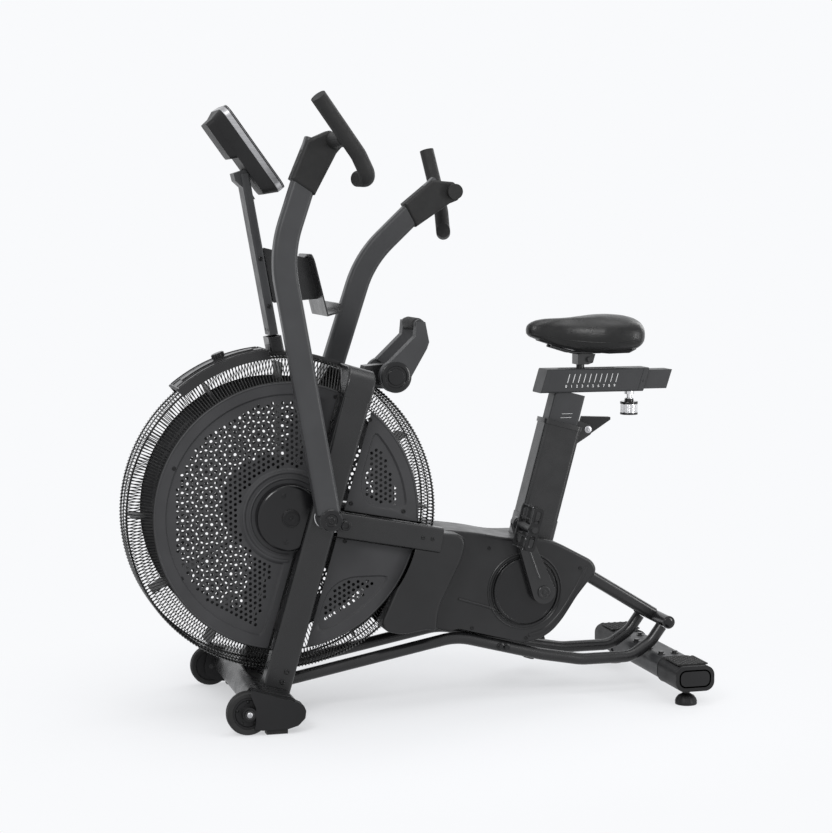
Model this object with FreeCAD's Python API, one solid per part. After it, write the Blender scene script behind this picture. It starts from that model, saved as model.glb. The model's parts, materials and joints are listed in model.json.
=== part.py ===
import FreeCAD, Part
import math
import os
from FreeCAD import Vector as V

# Air bike. Millimetres. +X is the way the rider faces, +Y the rider's left, +Z up, floor at Z = 0.
# Everything is drawn with the fan's axis at X = 0 and moved at the end by SHIFT_X, which puts the
# origin at the middle of the bike's box, on the floor.

# ---- fan and cage
FAN_Z = 446.0
CAGE_R = 351.0
CAGE_FLAT = 55.0
PANEL_R = 295.0
PANEL_Y = 108.0
PANEL_SHEET = 1.5
FAN_R = 335.0
BLADE_HALF = 46.0
BLADES = 12
AXLE_R = 10.0
FIT = 0.05
SLIDE_GAP = 0.35

# ---- main posts and rails
LEAN = 16.1
POST_W = 63.0
POST_IN = 112.0
POST_OUT = 152.0
POST_MID_X = 35.0
POST_FOOT_Z = 64.0
ARCH_Z = 704.0
WALL = 2.5
RAIL_IN = 100.0
RAIL_OUT = 136.0
RAIL_W = 56.0

# ---- arms
PIVOT = (-72.0, 450.0)
SWING = 28.0
ARM_IN = 180.0
ARM_OUT = 216.0
ARM_W = 52.0
ROCKER = 33.0
GRIP_R = 17.0

# ---- crank and drive
CRANK = (-593.0, 250.0)
CRANK_L = 172.0
CRANK_LEAN = 20.7
COVER = (-556.0, 250.0)
JACK = (-410.0, 285.0)
BIG_R = 70.0
JACK_SMALL_R = 17.5
SMALL_R = 25.0
JACK_R = 50.0
BELT_T = 3.0
BELT_1 = (34.0, 48.0)
BELT_2 = (-60.0, -50.0)
LOBE = (66.0, 74.0)
ROD = (118.0, 126.0)

# ---- seat
SEAT_LEAN = 14.8
SEAT_FOOT = (-581.0, 300.0)
SEAT_TUBE_W = 90.0
SEAT_TUBE_HALF = 33.0
SEAT_TUBE_TOP = 628.0
POST2_W = 74.0
POST2_HALF = 25.0
HOUSE_HALF = 31.0
SADDLE_POST_X = -717.0
KNOB = (-839.0, 0.0)
LEVER_PIN = (-732.0, 610.0)

# ---- feet
REAR_X = -903.0
STAB_W = 93.0
STAB_END = 262.0
REAR_EDGE = REAR_X - STAB_W / 2
HANDLE_BAR = (REAR_X - 4, 160.0)
WHEEL = (118.0, 47.4)
WHEEL_R = 47.4
SHIFT_X = -(CAGE_R + REAR_EDGE) / 2

Y_AXIS = V(0, 1, 0)


# ---------------------------------------------------------------- shape helpers
def prism(points, y0, y1):
    """A closed outline in the XZ plane, pushed from y0 to y1."""
    loop = [V(x, y0, z) for x, z in points]
    loop.append(loop[0])
    return Part.Face(Part.makePolygon(loop)).extrude(V(0, y1 - y0, 0))


def rod(centre, radius, y0, y1):
    """A round bar along Y."""
    return Part.makeCylinder(radius, y1 - y0, V(centre[0], y0, centre[1]), Y_AXIS)


def ring(centre, outer, inner, y0, y1):
    return rod(centre, outer, y0, y1).cut(rod(centre, inner, y0 - 1, y1 + 1))


def pin_z(centre, radius, z0, z1):
    return Part.makeCylinder(radius, z1 - z0, V(centre[0], centre[1], z0))


def block(x0, x1, y0, y1, z0, z1):
    return Part.makeBox(x1 - x0, y1 - y0, z1 - z0, V(x0, y0, z0))


def polar(centre, radius, degrees):
    a = math.radians(degrees)
    return (centre[0] + radius * math.cos(a), centre[1] + radius * math.sin(a))


def bar(p0, p1, width, y0, y1):
    """A straight flat bar between two points of the XZ plane."""
    dx, dz = p1[0] - p0[0], p1[1] - p0[1]
    n = math.hypot(dx, dz)
    ox, oz = -dz / n * width / 2, dx / n * width / 2
    points = [(p0[0] + ox, p0[1] + oz), (p1[0] + ox, p1[1] + oz),
              (p1[0] - ox, p1[1] - oz), (p0[0] - ox, p0[1] - oz)]
    return prism(points, y0, y1)


def long_edges(shape, direction):
    """Straight edges that run along one direction."""
    found = []
    for edge in shape.Edges:
        if edge.Curve.TypeId == "Part::GeomLine":
            way = edge.Vertexes[-1].Point - edge.Vertexes[0].Point
            if way.Length > 1 and abs(abs(way.normalize().dot(direction)) - 1) < 1e-4:
                found.append(edge)
    return found


def box_tube(p0, p1, width, y0, y1, wall=WALL, corner=8.0):
    """A rectangular tube with rounded corners and an even wall, open at both ends."""
    way = V(p1[0] - p0[0], 0, p1[1] - p0[1]).normalize()
    outer = bar(p0, p1, width, y0, y1)
    outer = outer.makeFillet(corner, long_edges(outer, way))
    a = (p0[0] - way.x, p0[1] - way.z)
    b = (p1[0] + way.x, p1[1] + way.z)
    inner = bar(a, b, width - 2 * wall, y0 + wall, y1 - wall)
    return outer.cut(inner.makeFillet(corner - wall, long_edges(inner, way)))


def bent_outline(p0, p1, p2, radius, width):
    """The outline of a flat bar that turns once at p1, as edges in the plane y = 0."""
    a = V(p1[0] - p0[0], 0, p1[1] - p0[1]).normalize()
    b = V(p2[0] - p1[0], 0, p2[1] - p1[1]).normalize()
    turn = math.acos(max(-1.0, min(1.0, a.dot(b))))
    reach = radius * math.tan(turn / 2)
    side = 1.0 if a.cross(b).y < 0 else -1.0
    start, corner, end = V(p0[0], 0, p0[1]), V(p1[0], 0, p1[1]), V(p2[0], 0, p2[1])
    t0, t1 = corner - a * reach, corner + b * reach
    na, nb = V(-a.z, 0, a.x) * side, V(-b.z, 0, b.x) * side
    centre = t0 + na * radius
    middle_way = ((t0 + t1) * 0.5 - centre).normalize()
    edges = []
    ends = []
    for shift in (width / 2, -width / 2):
        arc_r = radius - shift
        q = [start + na * shift, t0 + na * shift, centre + middle_way * arc_r]
        q += [t1 + nb * shift, end + nb * shift]
        edges.append(Part.LineSegment(q[0], q[1]).toShape())
        edges.append(Part.Arc(q[1], q[2], q[3]).toShape())
        edges.append(Part.LineSegment(q[3], q[4]).toShape())
        ends.append((q[0], q[4]))
    edges.append(Part.LineSegment(ends[0][0], ends[1][0]).toShape())
    edges.append(Part.LineSegment(ends[0][1], ends[1][1]).toShape())
    return Part.Face(Part.Wire(Part.__sortEdges__(edges)))


def bent_bar(p0, p1, p2, radius, width, y0, y1):
    face = bent_outline(p0, p1, p2, radius, width)
    face.translate(V(0, y0, 0))
    return face.extrude(V(0, y1 - y0, 0))


def round_path(points, radii):
    """Straight runs joined by tangent arcs."""
    edges = []
    last = V(*points[0])
    for i in range(1, len(points) - 1):
        p = V(*points[i])
        a = (p - V(*points[i - 1])).normalize()
        b = (V(*points[i + 1]) - p).normalize()
        turn = math.acos(max(-1.0, min(1.0, a.dot(b))))
        reach = radii[i - 1] * math.tan(turn / 2)
        t0, t1 = p - a * reach, p + b * reach
        inward = (b - a).normalize()
        middle = p + inward * (radii[i - 1] / math.cos(turn / 2) - radii[i - 1])
        edges.append(Part.LineSegment(last, t0).toShape())
        edges.append(Part.Arc(t0, middle, t1).toShape())
        last = t1
    edges.append(Part.LineSegment(last, V(*points[-1])).toShape())
    return Part.Wire(edges)


def pipe(points, radii, radius):
    """A round bar along a path of straight runs and arcs."""
    path = round_path(points, radii)
    start = V(*points[0])
    way = (V(*points[1]) - start).normalize()
    loop = Part.Wire(Part.makeCircle(radius, start, way))
    return path.makePipeShell([loop], True, False)


def pipe_tube(points, radii, radius, wall):
    return pipe(points, radii, radius).cut(pipe(points, radii, radius - wall))


def largest(shape):
    return max(shape.Solids, key=lambda solid: solid.Volume)


def mirrored(shape):
    return shape.mirror(V(0, 0, 0), Y_AXIS)


def both(shape):
    return Part.makeCompound([shape, mirrored(shape)])


def turned(shape, centre, degrees):
    """Turned about an axis along Y: a positive angle takes the top forward."""
    out = shape.copy()
    out.rotate(V(centre[0], 0, centre[1]), Y_AXIS, degrees)
    return out


def revolved(points, start, sweep):
    """A closed (radius, y) outline, swept about the fan's axis from start through sweep degrees."""
    loop = [V(r, y, FAN_Z) for r, y in points]
    loop.append(loop[0])
    solid = Part.Face(Part.makePolygon(loop)).revolve(V(0, 0, FAN_Z), V(0, -1, 0), sweep)
    solid.rotate(V(0, 0, FAN_Z), V(0, -1, 0), start)
    return solid


FAN = (0.0, FAN_Z)


def post_x(z):
    """The middle of the leaning posts at height z."""
    return POST_MID_X - (z - 75.0) * math.tan(math.radians(LEAN))


def seat_x(z):
    """The middle of the leaning seat tube at height z."""
    return SEAT_FOOT[0] - (z - SEAT_FOOT[1]) * math.tan(math.radians(SEAT_LEAN))


# ---------------------------------------------------------------- frame
def rail_solid(wall):
    """Side rail between a main post and the shroud; wall 0 gives it filled."""
    p0, p1 = (-108.0, 427.0), (-344.0, 382.0)
    if wall:
        return box_tube(p0, p1, RAIL_W, RAIL_IN, RAIL_OUT)
    return bar(p0, p1, RAIL_W, RAIL_IN, RAIL_OUT)


def post_outline(grow):
    """Side outline of a post, grown by a margin each side."""
    return bar((post_x(40.0), 40.0), (post_x(800.0), 800.0), POST_W + 2 * grow, POST_IN - 40, POST_OUT + 60)


def post():
    low = (post_x(POST_FOOT_Z), POST_FOOT_Z)
    high = (post_x(ARCH_Z), ARCH_Z)
    tube = box_tube(low, high, POST_W, POST_IN, POST_OUT)
    shaft_hole = rod(PIVOT, 12 + FIT, POST_IN - 1, POST_OUT + 1)
    rod_slot = block(-135, PIVOT[0] - 10, POST_IN - 1, ROD[1] + 3, 395, 436)
    solid = tube.cut(shaft_hole).cut(rod_slot).cut(front_tube_outline(0.0))
    return largest(solid)


GRAB_HUB = (-254.0, 746.0)
ARCH_RISE = 68.0
ARCH_UNDER = 53.0


def top_arch():
    """Saddle that joins the posts over the cage, with the lug of the grab handle."""
    outer = block(0, POST_W, -POST_OUT, POST_OUT, 0, ARCH_RISE)
    outer = outer.makeFillet(44.0, [e for e in long_edges(outer, V(1, 0, 0)) if e.Vertexes[0].Z > 1])
    loop = [V(-1, -POST_IN, -1), V(-1, -POST_IN, 14), V(-1, -58, ARCH_UNDER), V(-1, 58, ARCH_UNDER),
            V(-1, POST_IN, 14), V(-1, POST_IN, -1), V(-1, -POST_IN, -1)]
    opening = Part.Face(Part.makePolygon(loop)).extrude(V(POST_W + 2, 0, 0))
    shell = outer.cut(opening)
    rims = [e for e in shell.Edges if e.BoundBox.XLength < 0.01 and e.BoundBox.ZMax > ARCH_RISE - 0.1]
    shell = shell.makeFillet(5.0, [e for e in rims if e.BoundBox.YLength > 30])
    shell.translate(V(-POST_W / 2, 0, 0))
    shell.rotate(V(0, 0, 0), Y_AXIS, -LEAN)
    shell.translate(V(post_x(ARCH_Z), 0, ARCH_Z))
    lug = prism([(-196, 768), (-190, 733), (-245, 722), (-278, 732), (-278, 760), (-245, 772)], -22, 22)
    solid = shell.fuse(lug.cut(shell)).cut(rod(GRAB_HUB, 9 + FIT, -30, 30))
    return solid.removeSplitter()


def mast_base():
    """Curved strip along the cage's top that carries the mast."""
    strip = revolved([(CAGE_R, -30), (359, -30), (359, 30), (CAGE_R, 30)], 82, 32)
    foot = box_tube((4.0, 796.0), (12.0, 838.0), 30, -34, 34, 3.0, 4.0)
    core = rod(FAN, 359.0, -40, 40)
    return largest(strip.cut(top_arch()).fuse(foot.cut(core)))


def seat_tube_outline(grow):
    """The seat tube filled, grown by a margin all round."""
    half = SEAT_TUBE_HALF + grow
    return bar(SEAT_FOOT, (seat_x(640), 640), SEAT_TUBE_W + 2 * grow, -half, half)


def centre_beam():
    """Cross tube between the rails, the beam to the seat tube and the crank shell under it."""
    cross = block(-380, -354, -RAIL_IN, RAIL_IN, 366, 390)
    for side in (1, -1):
        y0, y1 = sorted((26 * side, (RAIL_IN + 1) * side))
        cross = cross.cut(block(-377, -357, y0, y1, 369, 387))
    tab = block(-380, -330, RAIL_IN - 8, RAIL_IN, 366, 390)
    beam = prism([(-380, 390), (-380, 366), (-470, 322), (-590, 298), (-560, 346)], -25, 25)
    hollow = prism([(-384, 384), (-384, 371), (-472, 328), (-560, 310), (-552, 341)], -22, 22)
    hanger = prism([(JACK[0] - 24, 350), (JACK[0] + 24, 360), (JACK[0] + 20, JACK[1] - 14),
                    (JACK[0] - 20, JACK[1] - 14)], -22, 22)
    shell = rod(CRANK, 27, -28, 28)
    web = prism([(-614, 296), (-500, 330), (-510, 300), (-572, 240), (-612, 240)], -20, 20)
    solid = cross.fuse([tab, mirrored(tab), beam.cut(hollow), hanger, shell, web]).cut(seat_tube_outline(0.0))
    solid = solid.cut(rod(CRANK, 20, -40, 40)).cut(rod(JACK, 8 + FIT, -40, 40))
    return largest(solid.removeSplitter())


def lower_rail():
    points = [(6.0, 70.0, 72.0), (-398.0, 70.0, 150.0), (-600.0, 70.0, 98.0), (-700.0, 70.0, 80.0),
              (-822.0, 70.0, 80.0), (-872.0, 70.0, 112.0), (-898.0, 70.0, 148.0)]
    tube = pipe_tube(points, [150.0, 300.0, 150.0, 60.0, 80.0], 13.5, 2.0)
    front = front_tube_outline(0.0)
    return tube.cut(front).cut(rod(HANDLE_BAR, 14, -100, 100))


def rear_stay():
    p0, p1 = (-640.0, 325.0), (-900.0, 166.0)
    tube = box_tube(p0, p1, 30, -24, 24, 2.0, 9.0)
    tube = tube.cut(rod(HANDLE_BAR, 14, -100, 100))
    return largest(tube.cut(seat_tube_outline(0.0)))


def rear_handle():
    bar_ = ring(HANDLE_BAR, 14, 11, -90, 90)
    cap = rod(HANDLE_BAR, 15, 90, 94)
    return Part.makeCompound([bar_, cap, mirrored(cap)])


def rounded_bar_y(centre, width, height, corner, y0, y1, tilt=0.0):
    """A rounded rectangle section in XZ, run along Y."""
    x, z = centre
    w, h = width / 2, height / 2
    solid = prism([(x - w, z - h), (x + w, z - h), (x + w, z + h), (x - w, z + h)], y0, y1)
    solid = solid.makeFillet(corner, long_edges(solid, Y_AXIS))
    return turned(solid, centre, tilt)


FRONT_STAB = (58.0, 52.0)
FRONT_TILT = -17.0


def front_tube_outline(wall):
    return rounded_bar_y(FRONT_STAB, 114 - 2 * wall, 58 - 2 * wall, 27 - wall, -226, 226, FRONT_TILT)


def front_stabiliser():
    return front_tube_outline(0.0).cut(front_tube_outline(3.0))


def front_end_cap():
    """Moulded end of the front stabiliser, with the fork of a transport wheel."""
    outline = [(112, 99), (128, 74), (134, 48), (131, 28), (116, 16), (90, 11), (34, 11), (12, 17),
               (-3, 32), (-5, 48), (0, 60), (12, 66)]
    solid = prism(outline, 226, 264)
    solid = solid.makeFillet(6.0, long_edges(solid, Y_AXIS))
    well = rod(WHEEL, WHEEL_R + 3.0, 231, 259)
    mouth = block(WHEEL[0], 190, 231, 259, -10, 110)
    outer_cut = prism([(128, 120), (104, 60), (104, 30), (112, -5), (190, -5), (190, 120)], 259, 266)
    solid = solid.cut(well).cut(mouth).cut(outer_cut)
    solid = solid.cut(rod(WHEEL, 6, 200, 300))
    cheek = ring(WHEEL, 15, 6, 259, 264)
    pad_seat = block(28, 82, 232, 262, -5, 8.0)
    return solid.fuse(cheek).cut(pad_seat).removeSplitter()


def front_pad():
    return block(34, 80, 234, 258, 0.0, 11.0)


def rear_stabiliser():
    centre = (REAR_X, 63.0)
    outer = rounded_bar_y(centre, STAB_W - 4, 54, 22, -150, 150)
    inner = rounded_bar_y(centre, STAB_W - 10, 48, 19, -151, 151)
    return outer.cut(inner)


def rear_end_cap():
    centre = (REAR_X, 63.0)
    solid = rounded_bar_y(centre, STAB_W, 58, 22, 150, STAB_END)
    foot_hole = pin_z((REAR_X + 9, 231.0), 5 + FIT, 20, 70)
    return solid.cut(foot_hole)


def foot_tread():
    return block(REAR_X - 36, REAR_X + 36, 168, 248, 92.0, 95.0)


def rubber_pads():
    return Part.makeCompound([front_pad(), mirrored(front_pad()), foot_tread(), mirrored(foot_tread())])


def leveller():
    at = (REAR_X + 9, 231.0)
    base = Part.makeCone(25, 19, 9, V(at[0], at[1], 0)).fuse(pin_z(at, 14, 9, 16))
    hexagon = pin_z(at, 9, 16, 26)
    return base.fuse(hexagon).fuse(pin_z(at, 5, 26, 64)).removeSplitter()


def seat_tube():
    low = SEAT_FOOT
    high = (seat_x(SEAT_TUBE_TOP), SEAT_TUBE_TOP)
    tube = box_tube(low, high, SEAT_TUBE_W, -SEAT_TUBE_HALF, SEAT_TUBE_HALF, 4.0, 10.0)
    way = V(high[0] - low[0], 0, high[1] - low[1]).normalize()
    a = (high[0] - way.x * 240, high[1] - way.z * 240)
    b = (high[0] + way.x * 10, high[1] + way.z * 10)
    bore = bar(a, b, POST2_W + 2 * SLIDE_GAP, -POST2_HALF - SLIDE_GAP, POST2_HALF + SLIDE_GAP)
    sleeve_outer = bar(a, high, SEAT_TUBE_W - 4, -SEAT_TUBE_HALF + 2, SEAT_TUBE_HALF - 2)
    solid = tube.fuse(sleeve_outer).cut(bore)
    slot = bar((-720, 608), (-690, 600), 30, -8.5, 8.5)
    ear = prism([(-700, 622), (-712, 630), (-736, 622), (-745, 609), (-738, 598), (-696, 572)], 9, 15)
    ears = ear.fuse(mirrored(ear)).cut(bore)
    solid = solid.fuse(ears).cut(slot).cut(rod(LEVER_PIN, 4, -40, 40))
    return solid.removeSplitter()


# ---------------------------------------------------------------- cage, panels and fan
def panel_disc():
    hole = 34.0
    plate = ring(FAN, PANEL_R, hole, PANEL_Y - PANEL_SHEET, PANEL_Y)
    lip = ring(FAN, PANEL_R, PANEL_R - PANEL_SHEET, PANEL_Y - 9, PANEL_Y - PANEL_SHEET)
    return plate.fuse(lip)


def sector(points):
    """The part of a side panel inside an outline."""
    cutter = prism(points, 60, 130)
    return panel_disc().common(cutter)


def line_at(z, x_of_z, offset):
    return (x_of_z(z) + offset, z)


def front_sector():
    gap = POST_W / 2 / math.cos(math.radians(LEAN)) + 3
    return sector([line_at(120, post_x, gap), line_at(780, post_x, gap), (400, 780), (400, 120)])


def rear_sectors():
    gap = POST_W / 2 / math.cos(math.radians(LEAN)) + 19
    drop = math.radians(10.8)
    top0 = (-60.0, 427.0 + 48 * math.tan(drop) + 31.5)
    top1 = (-400.0, top0[1] - 340 * math.tan(drop))
    low0 = (-20.0, 427.0 + 88 * math.tan(drop) - 31.5)
    low1 = (-400.0, low0[1] - 380 * math.tan(drop))
    upper = sector([top0, line_at(780, post_x, -gap), (-400, 780), top1]).cut(post_outline(3))
    lower = sector([low0, low1, (-400, 120), line_at(120, post_x, -gap), (60, 200)]).cut(post_outline(3))
    keep_rear = prism([line_at(120, post_x, 0), line_at(780, post_x, 0), (-400, 780), (-400, 120)], 60, 130)
    return Part.makeCompound([upper.common(keep_rear), lower.common(keep_rear)])


def cage_outline(grow):
    """Half of the dished cage in (radius, y), from the panel's rim to the flat crown."""
    return [(PANEL_R + 1.5 + grow, PANEL_Y - 3), (CAGE_R + grow, CAGE_FLAT)]


def fan_cage():
    rim, crown = cage_outline(0.0)
    thick = 2.0
    section = [rim, crown, (crown[0], -crown[1]), (rim[0], -rim[1]),
               (rim[0] - 0.7, -rim[1]), (crown[0] - thick, -crown[1] + 1), (crown[0] - thick, crown[1] - 1),
               (rim[0] - 0.7, rim[1])]
    band = revolved(section, 0, 360)
    belt_notch = block(-362, -285, BELT_2[0] - 3, BELT_2[1] + 3, 262, 386)
    r0, r1 = CAGE_R - thick - 5.2, CAGE_R - thick
    outline = [(r0, 48.6), (r0 + 1.2, 47.4), (r1, 47.4), (r1, 52.6), (r0 + 1.2, 52.6), (r0, 51.4)]
    hoop = revolved(outline, 0, 360)
    rail = rail_solid(0)
    keep_out = top_arch().fuse([rail, mirrored(rail), belt_notch])
    return Part.makeCompound([largest(piece.cut(keep_out)) for piece in (band, hoop, mirrored(hoop))])


def wind_guard():
    """Folded deflector over the front top of the cage, with its strap and thumb knob."""
    shell = revolved([(362, -62), (366, -62), (366, 62), (362, 62)], 50, 35)
    flange = revolved([(345, 62), (366, 62), (366, 65), (345, 65)], 50, 35)
    strap = revolved([(366, -14), (369, -14), (369, 14), (366, 14)], 54, 27)
    at = polar(FAN, 369, 69)
    knob = Part.makeCylinder(13, 12, V(at[0], 0, at[1]), V(at[0], 0, at[1] - FAN_Z))
    spacer = revolved([(CAGE_R, -20), (362, -20), (362, -8), (CAGE_R, -8)], 66, 6)
    knob = knob.cut(revolved([(340, -30), (369, -30), (369, 30), (340, 30)], 40, 60))
    body = shell.fuse([flange, mirrored(flange), spacer])
    return Part.makeCompound([body.removeSplitter(), strap, knob])


def axle_bracket():
    plate = prism([(14, FAN_Z + 16), (-8, FAN_Z + 24), (-90, FAN_Z + 30), (-90, FAN_Z - 34), (-8, FAN_Z - 22),
                   (14, FAN_Z - 14)], PANEL_Y + 0.4, POST_IN)
    return plate.cut(rod(FAN, AXLE_R, 90, 130)).cut(rod(PIVOT, 14, 90, 130))


def fan_axle():
    shaft = rod(FAN, AXLE_R, -126, 126)
    bracket = axle_bracket()
    return Part.makeCompound([shaft, bracket, mirrored(bracket)])


def hub_cover():
    """Black dome over the axle end; the post cuts into its rear edge."""
    r = 74.0
    y0, y1 = PANEL_Y + 0.4, 137.0
    solid = rod(FAN, r, y0, y1)
    edge = [e for e in solid.Edges if abs(e.BoundBox.YMin - y1) < 0.1 and abs(e.BoundBox.YMax - y1) < 0.1]
    solid = solid.makeFillet(9.0, edge)
    solid = solid.cut(rod(FAN, r - 3, y0 - 1, y1 - 3))
    solid = solid.cut(post_outline(0.8))
    bracket_gap = block(-70, -20, y0 - 1, POST_IN + 0.6, FAN_Z - 40, FAN_Z + 40)
    cap = rod(FAN, 20, y1, y1 + 3)
    return solid.cut(bracket_gap).fuse(cap).removeSplitter()


def bearings():
    fan = ring(FAN, 17, AXLE_R, 28, 40)
    crank = ring(CRANK, 20, 9 + FIT, 16, 28)
    return Part.makeCompound([fan, mirrored(fan), crank, mirrored(crank)])


def fan_hub():
    body = ring(FAN, 30, 17 + FIT, -BLADE_HALF, BLADE_HALF)
    nose = ring(FAN, 18, AXLE_R + 1, BELT_2[0], -BLADE_HALF)
    return body.fuse(nose).removeSplitter()


def fan_blades():
    """Flat paddles on spokes."""
    t = 2.0
    outline = [(29.5, -12), (215, -12), (240, -BLADE_HALF), (FAN_R, -BLADE_HALF), (FAN_R, BLADE_HALF),
               (240, BLADE_HALF), (215, 12), (29.5, 12)]
    loop = [V(r, y, FAN_Z - t / 2) for r, y in outline]
    loop.append(loop[0])
    blade = Part.Face(Part.makePolygon(loop)).extrude(V(0, 0, t)).cut(rod(FAN, 30, -60, 60))
    return Part.makeCompound([turned(blade, FAN, 360.0 / BLADES * i) for i in range(BLADES)])


def fan_pulley():
    return ring(FAN, SMALL_R, 18, BELT_2[0], BELT_2[1])


def belt(c0, r0, c1, r1, y0, y1):
    """A flat belt round two pulleys, standing off them by a hair."""
    def loop_solid(grow):
        a, b = r0 + grow, r1 + grow
        dx, dz = c1[0] - c0[0], c1[1] - c0[1]
        n = math.hypot(dx, dz)
        base = math.degrees(math.atan2(dz, dx))
        lift = math.degrees(math.acos((a - b) / n))
        quad = [polar(c0, a, base + lift), polar(c1, b, base + lift),
                polar(c1, b, base - lift), polar(c0, a, base - lift)]
        return prism(quad, y0, y1).fuse([rod(c0, a, y0, y1), rod(c1, b, y0, y1)])

    return loop_solid(SLIDE_GAP + BELT_T).cut(loop_solid(SLIDE_GAP)).removeSplitter()


def drive_belts():
    first = belt(CRANK, BIG_R, JACK, JACK_SMALL_R, BELT_1[0] + 1, BELT_1[1] - 1)
    second = belt(JACK, JACK_R, FAN, SMALL_R, BELT_2[0] + 1, BELT_2[1] - 1)
    return Part.makeCompound([first, second])


def jackshaft():
    shaft = rod(JACK, 8, BELT_2[0], BELT_1[1])
    big = ring(JACK, JACK_R, 8, BELT_2[0], BELT_2[1])
    small = ring(JACK, JACK_SMALL_R, 8, BELT_1[0], BELT_1[1])
    return Part.makeCompound([shaft, big, small])


# ---------------------------------------------------------------- shroud
SHROUD = [(-330, 404), (-451, 387), (-511, 373), (-612, 371), (-722, 312), (-733, 288),
          (-712, 264), (-684, 231), (-667, 205), (-647, 176), (-622, 150), (-592, 134),
          (-550, 127), (-500, 137), (-428, 152), (-364, 167), (-312, 181), (-252, 171),
          (-206, 188)]
SHROUD_HALF = 84.0
SHROUD_EDGE = 7.0
FLARE = [(-300, 404), (-404, 392), (-394, 340), (-338, 230), (-334, 175), (-312, 181),
         (-252, 171), (-200, 188)]
FLARE_HALF = 131.0
DISC_R = 80.0


def rounded_outline(outline):
    """A closed outline whose corners are arcs that take up most of their shorter side."""
    points = [V(x, 0, z) for x, z in outline]
    edges = []
    ends = []
    for i, p in enumerate(points):
        u, v = points[i - 1] - p, points[(i + 1) % len(points)] - p
        reach = 0.46 * min(u.Length, v.Length)
        u.normalize()
        v.normalize()
        half_turn = (math.pi - u.getAngle(v)) / 2
        radius = reach / math.tan(half_turn)
        middle = p + (u + v).normalize() * (radius / math.cos(half_turn) - radius)
        edges.append(Part.Arc(p + u * reach, middle, p + v * reach).toShape())
        ends.append((p + u * reach, p + v * reach))
    for i, pair in enumerate(ends):
        edges.append(Part.LineSegment(ends[i - 1][1], pair[0]).toShape())
    return Part.Face(Part.Wire(Part.__sortEdges__(edges)))


def side_solid(outline, half, inset):
    face = rounded_outline(outline)
    if inset:
        face = face.makeOffset2D(-inset)
    face.translate(V(0, inset - half, 0))
    solid = face.extrude(V(0, 2 * (half - inset), 0))
    if inset:
        return solid
    return solid.makeFillet(SHROUD_EDGE, [e for e in solid.Edges if e.BoundBox.YLength < 0.01])


def shroud_solid(inset):
    return side_solid(SHROUD, SHROUD_HALF, inset).fuse(side_solid(FLARE, FLARE_HALF, inset))


def cage_envelope(grow):
    rim, crown = cage_outline(grow)
    return revolved([(1, -140), (rim[0] - 4, -140), rim[:1] + (-rim[1],), (crown[0], -crown[1]), crown,
                     rim, (rim[0] - 4, 140), (1, 140)], 0, 360)


def shroud_half():
    """Left half of the plastic shroud: a shell over the drive."""
    outer = shroud_solid(0.0)
    inner = shroud_solid(3.0)
    solid = outer.cut(inner).cut(cage_envelope(1.6))
    solid = solid.common(block(-900, 0, 0.0, 200, 0, 600))
    solid = solid.cut(rail_solid(0))
    stay_gap = bar((-600, 350), (-900, 166.1), 31, -24.5, 24.5)
    rail_gap = bar((6, 72), (-398, 152), 36, 50, 90).fuse(bar((-398, 152), (-700, 73), 36, 50, 90))
    boss = rod(CRANK, 12, 60, 120)
    bend_gap = rod((-398, 152), 18, 50, 90)
    solid = solid.cut(seat_tube_outline(0.5)).cut(stay_gap).cut(rail_gap.fuse(bend_gap)).cut(boss)
    return max(solid.Solids, key=lambda s: s.Volume)


# ---------------------------------------------------------------- crank
def crank_axle():
    shaft = rod(CRANK, 9, -114, 114)
    lobe = rod(polar(CRANK, 8, 90), 18, LOBE[0], LOBE[1])
    lobe_far = rod(polar(CRANK, 8, -90), 18, -LOBE[1], -LOBE[0])
    return shaft.fuse([lobe, lobe_far]).removeSplitter()


def crank_pulley():
    wheel = ring(CRANK, BIG_R, 9, BELT_1[0], BELT_1[1])
    for i in range(5):
        wheel = wheel.cut(rod(polar(CRANK, 40, 72 * i), 16, 20, 60))
    return wheel


def crank_cover():
    """Round plate on the shroud's side, with a hole for the crank's axle."""
    y1 = SHROUD_HALF + 6.0
    plate = rod(COVER, DISC_R, SHROUD_HALF, y1)
    edge = [e for e in plate.Edges if abs(e.BoundBox.YMin - y1) < 0.1 and e.BoundBox.YLength < 0.1]
    return plate.makeFillet(3.0, edge).cut(rod(CRANK, 12, 60, 120))


def crank_arm():
    """Tapered forging with round ends and the pedal's spindle."""
    y0, y1 = SHROUD_HALF + 6.6, 112.0
    tip = polar(CRANK, CRANK_L, 90)
    low = [(CRANK[0] - 27, CRANK[1]), (CRANK[0] + 27, CRANK[1])]
    body = prism(low + [(tip[0] + 14, tip[1]), (tip[0] - 14, tip[1])], y0, y1)
    solid = body.fuse([rod(CRANK, 27, y0, y1), rod(tip, 14, y0, y1)]).cut(rod(CRANK, 9, 60, 120))
    spindle = rod(tip, 7, y1, 224)
    return turned(solid.fuse(spindle).removeSplitter(), CRANK, CRANK_LEAN)


def crank_arms():
    near = crank_arm()
    far = turned(mirrored(near), CRANK, 180)
    return Part.makeCompound([near, far])


def pedal(tip):
    """Open cage platform round a central barrel."""
    y0, y1 = 132.0, 220.0
    frame = block(tip[0] - 50, tip[0] + 50, y0, y1, tip[1] - 13, tip[1] + 13)
    frame = frame.makeFillet(9.0, long_edges(frame, Y_AXIS))
    for side in (-1, 1):
        x0 = tip[0] + side * 31
        frame = frame.cut(block(x0 - 13, x0 + 13, y0 + 7, y1 - 7, tip[1] - 30, tip[1] + 30))
    frame = frame.cut(rod(tip, 7 + FIT, 100, 221.2))
    return turned(frame, tip, 75)


# ---------------------------------------------------------------- arms
def arm_points():
    return (PIVOT[0] + 3, PIVOT[1] + 15), (PIVOT[0] + 103, PIVOT[1] + 572), (PIVOT[0] + 24, PIVOT[1] + 812)


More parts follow.
